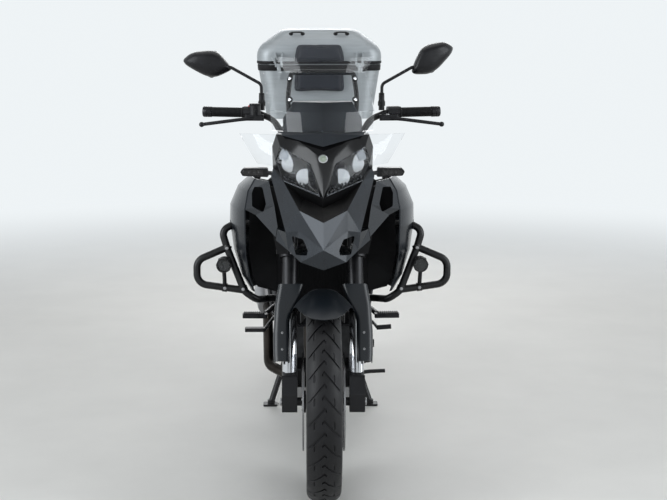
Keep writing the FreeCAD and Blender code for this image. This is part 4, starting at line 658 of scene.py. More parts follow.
def sewn(piece, name, path, body, key, depth=2.6, width=8.0):
    """Sinks a sewn channel along a path, then lays its piping and two rows of stitches."""
    line = on_surface(piece, path, 3.0)
    lookup = KDTree(len(line))
    for index, (spot, normal) in enumerate(line):
        lookup.insert(spot, index)
    lookup.balance()
    for vertex in piece.data.vertices:
        spot, index, distance = lookup.find(vertex.co)
        share = distance / (width * MM)
        if share < 1.0:
            vertex.co = vertex.co - line[index][1] * depth * MM * (1 - share * share) ** 2
    seam = [(spot - normal * (depth - 0.9) * MM) / MM for spot, normal in line]
    tube(name + "_piping", seam, 1.1, key, body)
    stitches = []
    for index in range(0, len(line) - 1, 2):
        spot, normal = line[index]
        along = line[index + 1][0] - spot
        if along.length < 1e-6:
            continue
        along.normalize()
        across = along.cross(normal).normalized()
        for side in (-1, 1):
            start = (spot + across * side * 3.6 * MM - normal * (depth * 0.55) * MM) / MM
            stitches.append(lathe_mesh([(0.0, -1.7), (0.55, -1.2), (0.55, 1.2), (0.0, 1.7)], start, along, 6))
    joined(name + "_stitches", stitches, "thread", body)


SADDLE = [
    (40, 84, 70, 822, 900), (52, 92, 80, 821, 905), (80, 104, 92, 820, 890), (120, 119, 106, 822, 872),
    (170, 138, 124, 829, 864), (220, 151, 138, 838, 863), (270, 156, 142, 846, 871),
    (310, 158, 142, 853, 890), (326, 156, 136, 857, 894)]
SADDLE_EDGE = [(72, 48, 910), (94, 90, 890), (112, 140, 872), (130, 200, 866), (137, 260, 872),
               (134, 322, 895)]
SADDLE_ROWS = [[(-half, y + 6, z - 4), (0, y - 8, z + 6), (half, y + 6, z - 4)]
               for y, half, z in ((110, 92, 884), (185, 116, 870), (262, 126, 876))]
PILLION = [
    (335, 152, 128, 862, 948), (350, 156, 136, 862, 958), (400, 156, 136, 870, 966),
    (460, 150, 130, 880, 971), (520, 140, 121, 892, 975), (570, 130, 110, 901, 975), (594, 122, 98, 906, 968)]
PILLION_EDGE = [(124, 346, 960), (128, 400, 972), (122, 470, 978), (112, 540, 982), (100, 588, 974)]
PILLION_ROWS = [[(-112, y + 5, 970), (0, y - 6, 984), (112, y + 5, 970)] for y in (395, 455, 515)]
LOWER_PAD = [(594, 95, 93, 1256, 1336), (604, 102, 99, 1253, 1339), (612, 103, 100, 1252, 1340),
             (620, 103, 100, 1253, 1339)]
UPPER_PAD = [(594, 98, 82, 1374, 1442), (604, 104, 88, 1371, 1445), (612, 105, 89, 1371, 1446),
             (620, 104, 88, 1371, 1445)]
PAD_BACK = 0.6216


def make_seats():
    """Rider's and passenger's saddles and the box's two back pads, swollen and sewn."""
    for name, short, node, sections, keep_below, edge, rows in (
            ("rider_saddle", "saddle", "rider_seat", SADDLE, 842, SADDLE_EDGE, SADDLE_ROWS),
            ("pillion_saddle", "pillion", "pillion_seat", PILLION, 878, PILLION_EDGE, PILLION_ROWS)):
        saddle = pad_mesh(name, sections, "chassis", "seat")
        swell(saddle, 6.0, 9.0, keep_below)
        finer(saddle)
        for side in (-1, 1):
            path = [(side * x, y, z) for x, y, z in edge]
            sewn(saddle, f"{short}_edge_{side + 2}", path, "chassis", "seat")
        for row, path in enumerate(rows):
            sewn(saddle, f"{short}_row_{row}", path, "chassis", "seat", depth=2.0)
        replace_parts(saddle, node)
    for name, sections, node, body in (("pad_lower", LOWER_PAD, "backrest_lower", "chassis"),
                                       ("pad_upper", UPPER_PAD, "backrest_upper", "box_lid")):
        pad = pad_mesh(name, sections, body, "pad", power=9.0)
        swell(pad, 4.0, 5.0, -1000)
        for vertex in pad.data.vertices:
            vertex.co.y = min(vertex.co.y, PAD_BACK)
        finer(pad)
        y, low, top, z_low, z_top = sections[2]
        corners = [(10 - low, z_low + 9), (0, z_low + 9), (low - 10, z_low + 9), (top - 10, z_top - 9),
                   (0, z_top - 9), (10 - top, z_top - 9), (10 - low, z_low + 9)]
        path = [(x, 592 if x else 590, z) for x, z in corners]
        sewn(pad, name + "_edge", path, body, "pad", depth=1.8, width=6.0)
        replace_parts(pad, node)


make_seats()


# Front mudguard with the guards of the fork legs

# Half width of the mudguard by Y
MUDGUARD_HALF = [(-960, 0), (-958.5, 14), (-955, 28), (-948, 42), (-925, 62), (-870, 79), (-780, 92),
                 (-720, 100), (-678, 106)]
# Share of the sag towards the edges, by Y
MUDGUARD_DROP = [(-960, 0.28), (-925, 0.42), (-870, 0.74), (-780, 0.92), (-678, 1.0)]
MUDGUARD_FRONT = -960
MUDGUARD_LENGTH = 282
MUDGUARD_SAG = 65
MUDGUARD_SAG_AT = 98
MUDGUARD_RADIUS = 368
ARCH_RADIUS = 367.5
ARCH_HALF = 76
# Leg guards: heights above the axle along the steering axis, and their edges at those heights
GUARD_LOW = 126
GUARD_LENGTH = 259
GUARD_INNER = [(126, 112), (200, 112), (260, 113), (285, 108), (303, 98), (330, 84), (385, 68)]
GUARD_OUTER = [(126, 158), (150, 160), (217, 161), (316, 156), (385, 145)]
GUARD_AHEAD = 74
GUARD_BOLT_LEVELS = (221, 166)
GUARD_BOLT_X = 134
SHEET = 3.0


def between(table, place):
    """Value of a (place, value) table, straight between its entries."""
    for (low, first), (high, last) in zip(table, table[1:]):
        if place <= high:
            return first + (last - first) * max(0.0, (place - low) / (high - low))
    return table[-1][1]


def sheet_mesh(rows):
    """Closed sheet under a grid of points."""
    count = len(rows[0])
    under = []
    for r, row in enumerate(rows):
        for c in range(count):
            along = rows[min(r + 1, len(rows) - 1)][c] - rows[max(r - 1, 0)][c]
            across = row[min(c + 1, count - 1)] - row[max(c - 1, 0)]
            normal = along.cross(across)
            if normal.length < 0.001:
                normal = Vector((0, 0, -1))
            under.append(row[c] + normal.normalized() * SHEET)
    total = len(rows) * count
    faces = grid_faces(len(rows), count, 0, False) + grid_faces(len(rows), count, total, False)
    rim = list(range(count)) + [r * count + count - 1 for r in range(1, len(rows))]
    rim += [(len(rows) - 1) * count + c for c in reversed(range(count - 1))]
    rim += [r * count for r in reversed(range(1, len(rows) - 1))]
    faces += [(a, total + a, total + b, b) for a, b in zip(rim, rim[1:] + rim[:1])]
    return [point for row in rows for point in row] + under, faces


def make_mudguard():
    """Smooth dome over the tyre, its rear arch and the two long guards in front of the fork legs."""
    dome = []
    for step in range(29):
        y = MUDGUARD_FRONT + MUDGUARD_LENGTH * (step / 28) ** 1.6
        half = max(between(MUDGUARD_HALF, y), 2.0)
        top = FRONT_AXLE[2] + math.sqrt(MUDGUARD_RADIUS ** 2 - (y - FRONT_AXLE[1]) ** 2)
        row = []
        for column in range(25):
            x = half * (column / 12 - 1)
            sag = MUDGUARD_SAG * between(MUDGUARD_DROP, y) * (abs(x) / MUDGUARD_SAG_AT) ** 2.2
            row.append(Vector((x, y, top - sag)))
        dome.append(row)
    arch = []
    for step in range(15):
        angle = math.radians(-12 - 38 * step / 14)
        row = []
        for column in range(21):
            x = ARCH_HALF * (column / 10 - 1)
            radius = ARCH_RADIUS - 46 * (abs(x) / ARCH_HALF) ** 3
            y = FRONT_AXLE[1] - radius * math.sin(angle)
            row.append(Vector((x, y, FRONT_AXLE[2] + radius * math.cos(angle))))
        arch.append(row)
    parts = [sheet_mesh(dome), sheet_mesh(arch)]
    recesses = []
    for side in (1, -1):
        rows = []
        for step in range(23):
            above = GUARD_LOW + GUARD_LENGTH * step / 22
            inner = between(GUARD_INNER, above)
            outer = between(GUARD_OUTER, above)
            section = [(inner, -4), (inner + 1, 1), (inner + 5, 3), (inner + 12, 3.6), (outer - 16, 3.6),
                       (outer - 7, 2), (outer - 2, -3), (outer, -11), (outer, -22), (outer, -34)]
            row = [on_axis(side * x, AXLE_ALONG_AXIS + above, GUARD_AHEAD + ahead) for x, ahead in section]
            rows.append(row if side < 0 else row[::-1])
        parts.append(sheet_mesh(rows))
        for above in GUARD_BOLT_LEVELS:
            place = on_axis(side * GUARD_BOLT_X, AXLE_ALONG_AXIS + above, GUARD_AHEAD + 3.4)
            profile = [(9.5, -2), (9.5, 0.8), (8.6, 1.3), (7.6, 0.8), (7.2, 0.4), (0, 0.4)]
            recesses.append(lathe_mesh(profile, place, STEER_AHEAD, 28))
    mudguard = joined("front_mudguard", parts, "mudguard", "steering", sharp=50)
    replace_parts(mudguard, "front_fender")
    joined("guard_recesses", recesses, "core", "steering")


make_mudguard()


# Nose: gloss mask round the lamps, dark recess, lamps and badge

NOSE = {
    "brow": (0, -706, 1190), "brow_side": (100, -686, 1190), "horn": (150, -642, 1190),
    "cheek_top": (163, -642, 1150), "cheek": (161, -648, 1082), "badge": (0, -772, 1120),
    "lamp_tip": (137, -690, 1155), "lamp_out": (152, -692, 1110), "lamp_corner": (128, -712, 1046),
    "lamp_low": (10, -792, 1006), "lamp_in": (38, -758, 1106), "bridge": (0, -808, 1003),
    "recess": (0, -738, 962), "recess_side": (62, -718, 988), "notch": (0, -862, 932),
    "blade_mid": (76, -802, 962),
}
MASK_FACETS = ["brow brow_side badge", "brow_side lamp_in badge", "brow_side lamp_tip lamp_in",
               "brow_side horn lamp_tip", "horn cheek_top lamp_tip", "cheek_top lamp_out lamp_tip",
               "cheek_top cheek lamp_out", "cheek lamp_corner lamp_out", "badge lamp_in bridge",
               "lamp_in lamp_low bridge"]
RECESS_FACETS = ["bridge lamp_low recess", "lamp_low recess_side recess",
                 "lamp_low lamp_corner recess_side", "lamp_corner blade_mid recess_side",
                 "recess_side blade_mid recess", "recess blade_mid notch"]
LAMP_RING = ["lamp_tip", "lamp_out", "lamp_corner", "lamp_low", "lamp_in"]
COVER_BACK = 0.8


def facet_cover(name, triangles, lift, key):
    """Thin moulding that lies on the named facets of the nose, on both sides."""
    normals = {}
    loops = []
    for side in (1, -1):
        for triangle in triangles:
            places = [(NOSE[corner][0] * side, *NOSE[corner][1:]) for corner in triangle.split()]
            a, b, c = (Vector(place) for place in places)
            normal = (b - a).cross(c - a).normalized()
            if normal.y > 0:
                normal = -normal
                places.reverse()
            for place in places:
                normals[place] = normals.get(place, Vector((0, 0, 0))) + normal
            loops.append(places)
    order = {place: index for index, place in enumerate(normals)}
    front = [Vector(place) + normal.normalized() * lift for place, normal in normals.items()]
    back = [Vector(place) - normal.normalized() * COVER_BACK for place, normal in normals.items()]
    count = len(order)
    faces = [tuple(order[place] for place in loop) for loop in loops]
    edges = set()
    for face in faces:
        for a, b in zip(face, face[1:] + face[:1]):
            if (b, a) in edges:
                edges.remove((b, a))
            else:
                edges.add((a, b))
    walls = [(a, b, count + b, count + a) for a, b in sorted(edges)]
    rear = [tuple(count + i for i in reversed(face)) for face in faces]
    mesh_piece(name, front + back, faces + rear + walls, key, sharp=20, bevel=0.5)


def lamp_front(x_share, bulge, steps, side):
    """Grid of the lamp's front: rings from its middle to its corners, pushed forward in the middle."""
    corners = [Vector(NOSE[label]) for label in LAMP_RING]
    middle = sum(corners, Vector()) / len(corners)
    points = [middle + Vector((0, -bulge, 0))]
    per_edge = 8
    count = per_edge * len(corners)
    for ring in range(1, steps + 1):
        out = ring / steps * x_share
        for before, after in zip(corners, corners[1:] + corners[:1]):
            for index in range(per_edge):
                rim = before + (after - before) * index / per_edge
                points.append(middle + (rim - middle) * out + Vector((0, -bulge * (1 - out * out), 0)))
    faces = [(0, 1 + index, 1 + (index + 1) % count) for index in range(count)] + grid_faces(steps, count, 1)
    return [Vector((p.x * side, p.y, p.z)) for p in points], faces, count


def moved_back(points, distance):
    """The points, further to the rear."""
    return [p + Vector((0, distance, 0)) for p in points]


def rim_walls(first, second, count):
    """Quads between two rims of points."""
    return [(first + i, first + (i + 1) % count, second + (i + 1) % count, second + i) for i in range(count)]


def shifted(faces, base):
    """The faces, turned over, on points that start at base."""
    return [tuple(base + i for i in reversed(face)) for face in faces]


# Bowls of a headlamp: x, z, y of the front, radius, depth
LAMP_BOWLS = ((103, 1101, -694, 27, 22), (58, 1061, -736, 25, 30))
TRAY_REAR = -664.0
SMALL_LIGHT = [(0.0, 3.0), (2.4, 2.4), (3.6, 0.6), (4.2, -4.0), (4.2, -8.0)]
# Profiles as shares of a bowl's radius and depth
BOWL = [(1, 0), (0.93, -0.25), (0.8, -0.55), (0.55, -0.82), (0.28, -0.95), (0.26, -1)]
BULB = [(0.40, -0.75), (0.42, -0.3), (0.36, -0.12)]


def make_lamp_unit(side):
    """One headlamp: clear cover, dark tray, two faceted bowls with their bulbs and a row of small lights."""
    tag = side_name(side)
    points, faces, count = lamp_front(0.985, 7.0, 7, side)
    total = len(points)
    walls = rim_walls(total - count, 2 * total - count, count)
    cover = mesh_piece(f"headlamp_cover_{tag}", points + moved_back(points, 2.6),
                       faces + shifted(faces, total) + walls, "lamp_cover", sharp=40)
    tray, faces, count = lamp_front(0.97, -22.0, 5, side)
    tray = [Vector((p.x, min(p.y + 9.0, TRAY_REAR), p.z)) for p in tray]
    base = len(tray)
    edge = moved_back(tray[-count:], -8.0)
    walls = rim_walls(base - count, base, count)
    mesh_piece(f"headlamp_tray_{tag}", tray + edge + moved_back(tray, 3.0),
               faces + walls + shifted(faces, base + count), "lamp_dark", sharp=30)
    bowls = []
    rings = []
    bulbs = []
    for x, z, y_front, radius, depth in LAMP_BOWLS:
        place = (side * x, y_front, z)
        bowls.append(lathe_mesh([(radius * r, depth * d) for r, d in BOWL], place, AHEAD, 14))
        dome = [(radius * r, depth * d) for r, d in BULB] + [(radius * 0.22, 0.5), (0.0, 2.0)]
        bulbs.append(lathe_mesh(dome, place, AHEAD, 24))
        ring = [(radius * 1.02, -1.5), (radius * 1.10, -1.0), (radius * 1.10, 1.2), (radius * 1.02, 1.8)]
        rings.append(lathe_mesh(ring, place, AHEAD, 40))
    joined(f"headlamp_bowls_{tag}", bowls, "lamp_bowl", sharp=18)
    joined(f"headlamp_rings_{tag}", rings, "chrome")
    tip, out, corner, low, inner = (Vector(NOSE[label]) for label in LAMP_RING)
    facet = [tip * 0.90 + inner * 0.10, tip * 0.12 + out * 0.88, out * 0.70 + inner * 0.30,
             tip * 0.68 + inner * 0.32]
    facet = [Vector((side * p.x, p.y + 9, p.z)) for p in facet]
    joined(f"headlamp_facet_{tag}", [(facet + moved_back(facet, 2), ends_of(2, 4) + grid_faces(2, 4))],
           "reflector", sharp=30, bevel=0.6)
    joined(f"headlamp_bulbs_{tag}", bulbs, "lens")
    lights = []
    for index in range(9):
        share = index / 8
        place = (side * (122 - 96 * share), -722 - 56 * share, 1060 - 44 * share)
        lights.append(lathe_mesh(SMALL_LIGHT, place, AHEAD, 16))
    joined(f"headlamp_small_lights_{tag}", lights, "reflector")
    blades = []
    for index in range(6):
        x = 60 + 13 * index
        top = 1112 + 6.5 * index
        y = -722 + 6.0 * index
        blades.append(slab_mesh([(y - 12, top - 2), (y + 8, top), (y + 10, top + 16), (y - 4, top + 15)], 0,
                                side * x - 1.2, side * x + 1.2))
    joined(f"headlamp_blades_{tag}", blades, "reflector")
    return cover


INFILL = [(176, 1020), (146, 1020), (128, 960), (116, 894), (118, 795), (150, 795), (168, 880), (172, 950)]
INFILL_FRONT = -640
INFILL_REAR = -637
BADGE = Vector((0, -775, 1124))
BADGE_AXIS = Vector((0, -0.90, 0.44))

facet_cover("nose_mask", MASK_FACETS, 1.4, "gloss")
facet_cover("nose_recess", RECESS_FACETS, 1.2, "matte")
joined("inner_infills", [slab_mesh([(side * x, z) for x, z in INFILL], 1, INFILL_FRONT, INFILL_REAR)
                         for side in (1, -1)], "matte")
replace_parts(make_lamp_unit(1), "headlamps")
make_lamp_unit(-1)
lathe("badge_ring", [(14.5, -3), (14.5, 1.2), (13.6, 2.2), (12.4, 2.4), (12.0, 1.4)], BADGE, BADGE_AXIS,
      "chrome", segments=48)
lathe("badge_disc", [(12.2, -2), (12.2, 1.2), (9.0, 1.9), (4.0, 2.2), (0.0, 2.3)], BADGE, BADGE_AXIS,
      "ivory", segments=48)


# Screen fixings, instruments and mirrors

HOOP = [(104, -590, 1212), (107, -590, 1240), (111, -590, 1275), (112, -590, 1302), (110, -578, 1328),
        (106, -560, 1358), (103, -550, 1376), (96, -547, 1386), (82, -547, 1387)]
# Bolts of the screen: place in Y and Z, and the direction that they look in
SCREEN_BOLTS = ((-617, 1300), (-573, 1366))
SCREEN_BOLT_X = 106.4
SCREEN_BOLT_AXIS = (0.55, -0.83, 0.5)
DIAL_X = 30
DIAL_Z = 1232
DIAL_FACE = -528.6
TICK_RADIUS = 17.5
# Mirror heads: side, lean, corners of the glass and of the cover in X and Z
MIRRORS = (
    (1, 22, [(310, 1370), (326, 1417), (350, 1462), (423, 1478), (460, 1452), (386, 1372)],
     [(308, 1369), (324, 1418), (348, 1464), (424, 1480), (464, 1453), (387, 1370)]),
    (-1, 6, [(309, 1386), (322, 1402), (363, 1449), (444, 1441), (482, 1409), (381, 1354)],
     [(306, 1386), (320, 1403), (362, 1451), (445, 1443), (485, 1409), (381, 1352)]),
)
MIRROR_Y = -308
MIRROR_STEM_X = 206
MIRROR_STEM_Y = -354
# Layers of a mirror: share of the outline, place behind the head's rear face
GLASS_LAYERS = [(0.90, 0.5), (0.90, 2.2), (0.885, 2.7)]
COVER_LAYERS = [(1.02, 1.5), (1.035, -3), (1.02, -10), (0.965, -20), (0.87, -28.5), (0.74, -34.5),
                (0.5, -38.5), (0.25, -40), (0.06, -40.4)]


def screen_fixings():
    """Round bar behind the screen, and the four bright bolts with washers that hold the screen to it."""
    heads = []
    washers = []
    for y, z in SCREEN_BOLTS:
        for side in (-1, 1):
            place = (side * SCREEN_BOLT_X, y, z)
            axis = Vector((side * SCREEN_BOLT_AXIS[0], *SCREEN_BOLT_AXIS[1:])).normalized()
            heads.append((place, axis, 6.2))
            washers.append(lathe_mesh([(10.5, -1.5), (10.5, 0.6), (9.0, 1.4), (5.0, 1.6)], place, axis, 28))
    bolts("screen_bolts", heads, "chassis", "chrome")
    joined("screen_washers", washers, "rubber")
    tube("screen_hoop", HOOP + [(-x, y, z) for x, y, z in reversed(HOOP)], 8.0, "powder")


def instruments():
    """Display with one plain dial and its bezel."""
    bezel = [(-88, 1200), (88, 1200), (80, 1264), (-80, 1264)]
    inner = [(-80, 1205), (80, 1205), (73, 1259), (-73, 1259)]
    layers = ((-533, bezel), (-525, bezel), (-525, inner), (-530, inner))
    points = [(x, y, z) for y, outline in layers for x, z in outline]
    mesh_piece("display_bezel", points, grid_faces(4, 4) + ends_of(4, 4), "matte", sharp=30, bevel=1.2)
    glass = slab_mesh([(-79, 1206), (79, 1206), (72, 1258), (-72, 1258)], 1, -531, DIAL_FACE)
    joined("display_glass", [glass], "glass_black", sharp=30, bevel=0.6)
    ring = [(22, 0), (22, 0.6), (20.6, 0.8), (20.6, 0)]
    dial = [lathe_mesh(ring, (DIAL_X, DIAL_FACE, DIAL_Z), (0, 1, 0), 48)]
    for index in range(11):
        angle = math.radians(-120 + 24 * index)
        out = Vector((math.sin(angle), 0, math.cos(angle)))
        tick = Vector((DIAL_X, -528.2, DIAL_Z)) + out * TICK_RADIUS
        dial.append(lathe_mesh([(0.9, -1.8), (0.9, 1.8)], tick, out, 6))
    dial.append(lathe_mesh([(1.1, -9), (0.3, 9)], (24.5, -527.8, 1239.5), (-0.6, 0, 0.8), 8))
    joined("display_dial", dial, "white")


def rounded(places, times=3):
    """Closed outline with its corners cut again and again."""
    for _ in range(times):
        cut = []
        for (ax, az), (bx, bz) in zip(places, places[1:] + places[:1]):
            cut.append((ax * 0.8 + bx * 0.2, az * 0.8 + bz * 0.2))
            cut.append((ax * 0.2 + bx * 0.8, az * 0.2 + bz * 0.8))
        places = cut
    return places


def mirror_layers(side, lean, corners, outline, layers):
    """Points and faces of a mirror's outline in layers."""
    middle_x = sum(x for x, z in corners) / len(corners)
    middle_z = sum(z for x, z in corners) / len(corners)
    points = []
    for share, behind in layers:
        for x, z in outline:
            near_x = middle_x + (x - middle_x) * share
            y = MIRROR_Y + lean * (near_x - middle_x) / 75 + behind
            points.append((side * near_x, y, middle_z + (z - middle_z) * share))
    return points, grid_faces(len(layers), len(outline)) + ends_of(len(layers), len(outline))


def mirror_pieces():
    """Silvered glass, stem foot and smooth domed cover of each mirror."""
    for side, lean, glass, cover in MIRRORS:
        tag = side_name(side)
        joined(f"mirror_glass_{tag}", [mirror_layers(side, lean, glass, glass, GLASS_LAYERS)], "mirror",
               "steering", sharp=20)
        stem = (side * MIRROR_STEM_X, MIRROR_STEM_Y)
        foot = [lathe_mesh([(9.5, 0), (9.5, 8), (7.5, 9.5)], (*stem, 1297), (0, 0, 1), 6),
                lathe_mesh([(12.5, 0), (12.5, 14), (10.5, 17), (10.5, 20)], (*stem, 1262), (0, 0, 1), 28)]
        joined(f"mirror_foot_{tag}", foot, "rubber", "steering")
    for side, lean, glass, cover in MIRRORS:
        layers = mirror_layers(side, lean, cover, rounded(cover), COVER_LAYERS)
        joined(f"mirror_cover_{side_name(side)}", [layers], "satin", "steering", sharp=40)


GRIP_START = Vector((222, -352, 1238))
GRIP_END = Vector((398, -322, 1240))
BAR_END = [(11.4, -18), (18.2, -18), (18.5, -17), (18.5, -6), (17.6, -5), (17.6, -3.4), (18.5, -2.4),
           (18.5, 8), (16.8, 11.6), (6.0, 11.9), (6.0, 9.0), (0.0, 9.0)]


def grip_pieces():
    """Ribbed rubber grips, their flanges and the bar ends."""
    along = (GRIP_END - GRIP_START).normalized()
    start = GRIP_START + along * 46
    length = (GRIP_END - start).length
    for side in (-1, 1):
        axis = Vector((along.x * side, along.y, along.z))
        foot = Vector((start.x * side, start.y, start.z))
        profile = [(11.6, 0.2), (19.6, 0.2), (20.0, 1.0), (20.0, 4.6), (19.4, 5.6), (17.0, 6.4)]
        place = 9.0
        while place < length - 24:
            profile += [(15.4, place), (16.9, place + 0.7), (16.9, place + 2.9), (15.4, place + 3.6)]
            place += 4.4
        profile += [(16.8, length - 21), (17.0, length - 19), (11.6, length - 18.6)]
        rubber = lathe(f"grip_{side_name(side)}", profile, foot, axis, "rubber", "steering",
                       40, 28)
        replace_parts(rubber, "grips")
        lathe(f"bar_end_{side_name(side)}", BAR_END, foot + axis * length, axis, "alloy_black", "steering",
              segments=40)


RESERVOIR_X = -228
THUMB_BUTTONS = ((236, -331, 1250), (250, -329, 1244), (238, -331, 1232))
# Pivots of the levers and bolts of the switch clamps: place and radius
LEVER_BOLTS = ((226, -388, 1234, 5.5), (214, -352, 1234, 4.5))
# Heights above the front axle, along the steering axis
BAR_CLAMP_HEIGHT = 826
FORK_CAP_HEIGHT = 745
STEM_NUT_HEIGHT = 722.3
BRIDGE_BOLT_HEIGHTS = (492, 508, 697, 713)


def control_details():
    """Reservoir cap, red switch, thumb buttons, lever pivots and clamp bolts."""
    lathe("reservoir_cap", [(19.6, -1), (19.6, 4.5), (18.4, 6.2), (6, 6.6), (0, 6.6)],
          (RESERVOIR_X, -392, 1266), (0, 0, 1), "matte", "steering", segments=36)
    lathe("reservoir_window", [(0, 3.2), (3.4, 3.0), (5.0, 1.6), (5.4, 0)], (RESERVOIR_X, -411, 1250),
          AHEAD, "lens", "steering", segments=24)
    switch = slab_mesh([(-252, -366), (-236, -366), (-235, -350), (-253, -350)], 2, 1259, 1265)
    joined("stop_switch", [switch], "red", "steering", sharp=30, bevel=1.4)
    button = [(4.8, -3), (4.8, 1.6), (4.0, 2.6), (0, 3.0)]
    buttons = [lathe_mesh(button, place, (0.1, 1, 0.1), 20) for place in THUMB_BUTTONS]
    joined("thumb_buttons", buttons, "reservoir", "steering")
    heads = []
    for x, y, z, radius in LEVER_BOLTS:
        heads += [((side * x, y, z), (0, 0, 1), radius) for side in (1, -1)]
    for x in (-44, 44):
        heads += [(on_axis(x, AXLE_ALONG_AXIS + BAR_CLAMP_HEIGHT, ahead), STEER_UP, 4.6)
                  for ahead in (-11, 11)]
    heads.append((on_axis(0, AXLE_ALONG_AXIS + STEM_NUT_HEIGHT, 0), STEER_UP, 13.0))
    bolts("bar_bolts", heads, "steering")
    cap = [(23.5, 0), (23.5, 2.4), (21.5, 3.6), (12, 3.8), (11.2, 7.0), (0, 7.0)]
    caps = [lathe_mesh(cap, on_axis(x, AXLE_ALONG_AXIS + FORK_CAP_HEIGHT, FORK_OFFSET), STEER_UP, 36)
            for x in (-FORK_HALF_SPACING, FORK_HALF_SPACING)]
    joined("fork_caps", caps, "steel", "steering")


screen_fixings()
instruments()
mirror_pieces()
grip_pieces()
control_details()


# Lights on the bars and indicators

FOG_LAMP = (335, -505, 732)


def fog_faces():
    """Bezel, bowl, bulbs and lens of the two round lamps on the crash bars."""
    x_lamp, y_lamp, z_lamp = FOG_LAMP
    for side in (-1, 1):
        tag = side_name(side)
        place = (side * x_lamp, y_lamp, z_lamp)
        bezel = [lathe_mesh([(20, -4), (24.6, -4), (25.4, -2), (25.4, 2), (23.6, 4), (21.0, 4), (20.0, 2)],
                            place, AHEAD, 48)]
        for index in range(8):
            up, across = on_circle(index, 8, 25)
            fin = (side * x_lamp + across, -486, z_lamp + up)
            bezel.append(lathe_mesh([(2.2, -14), (2.2, 14)], fin, AHEAD, 8))
        joined(f"fog_bezel_{tag}", bezel, "powder")
        lathe(f"fog_bowl_{tag}", [(20, 1.0), (17, 0.6), (11, 0.3), (6, 0.2), (0, 0.2)], place, AHEAD,
              "reflector", segments=16, sharp=12)
        bulbs = [lathe_mesh([(5.2, 0.4), (4.9, 1.8), (3.2, 2.8), (0, 3.1)],
                            (side * x_lamp + x, y_lamp, z_lamp + z), AHEAD, 20)
                 for x, z in ((-7.5, -5), (7.5, -5), (0, 8.5))]
        joined(f"fog_bulbs_{tag}", bulbs, "lens")
        lathe(f"fog_lens_{tag}", [(20.2, 2.6), (20.2, 3.6), (17, 4.6), (9, 5.4), (0, 5.7)], place, AHEAD,
              "lens", segments=40)


FRONT_INDICATOR = [(192, 1053), (256, 1056), (264, 1065), (254, 1073), (194, 1073)]
REAR_INDICATOR = [(134, 844), (188, 847), (195, 855), (186, 863), (136, 862)]
INDICATOR_LIGHTS = (206, 223, 240)


def indicator_faces():
    """Smoked covers over three small lights on each front indicator, amber ones at the rear."""
    for side in (-1, 1):
        tag = side_name(side)
        smoked = slab_mesh([(side * x, z) for x, z in FRONT_INDICATOR], 1, -631, -627.4)
        joined(f"indicator_front_{tag}", [smoked], "lens_smoke", sharp=30, bevel=1.0)
        bulb = [(5.2, 0), (5.0, 1.4), (3.4, 2.4), (0, 2.7)]
        bulbs = [lathe_mesh(bulb, (side * x, -628.2, 1063.5), AHEAD, 18) for x in INDICATOR_LIGHTS]
        joined(f"indicator_bulbs_{tag}", bulbs, "reflector")
        amber = slab_mesh([(side * x, z) for x, z in REAR_INDICATOR], 1, 929.4, 933)
        joined(f"indicator_rear_{tag}", [amber], "lens_amber", sharp=30, bevel=1.0)


fog_faces()
indicator_faces()


# Radiator, engine and chassis fixings

CORE_HALF = 130
FIN_START = 512.0
FIN_END = 764
FIN_STEP = 3.2
FIN_HEIGHT = 0.7
SPOKES = 36
NIPPLE_DEPTH = 30
VALVE_DEPTH = 52
# Engine covers: side, middle in Y and Z, radius of the ring of bolts
ENGINE_COVERS = ((1, 60, 350, 78), (-1, 40, 348, 84))
ENGINE_BOLTS = 9
# Clamps of the crash bars on the left: place and direction
BAR_CLAMPS = (((327, -432, 781), (-0.3, 0.1, 0.9)), ((272, -453.5, 642), (59, 23, 148)),
              ((335, -450.8, 645.2), (165, 10, 22)))
# Footpegs: ends in Y and in X, and top
PEGS = ((42, 74, 216, 296, 440), (333, 357, 214, 286, 534))
PEG_RIB_STEP = 8


def radiator_fins():
    """Fine fins between flat water tubes on the radiator's front face."""
    parts = []
    level = FIN_START
    while level < FIN_END:
        parts.append(block_mesh((-CORE_HALF, CORE_HALF), (-443.4, -440), (level, level + FIN_HEIGHT)))
        level += FIN_STEP
    for x in range(-CORE_HALF, CORE_HALF + 1, 10):
        parts.append(block_mesh((x - 1, x + 1), (-442.2, -439.8), (510, 766)))
    joined("radiator_fins", parts, "core", sharp=30)
    frame_parts = [block_mesh((-139, 139), (-444, -439), (z, z + 7)) for z in (764, 504)]
    frame_parts += [block_mesh((x, x + 7), (-444, -439), (504, 771)) for x in (-139, 132)]
    joined("radiator_frame", frame_parts, "satin", sharp=30, bevel=0.8)


def wheel_bolts(axle, x, radius, size):
    """Six bolts round an axle."""
    made = []
    for index in range(6):
        along, up = on_circle(index, 6, radius)
        made.append(((x, axle[1] + along, axle[2] + up), (math.copysign(1, x), 0, 0), size))
    return made


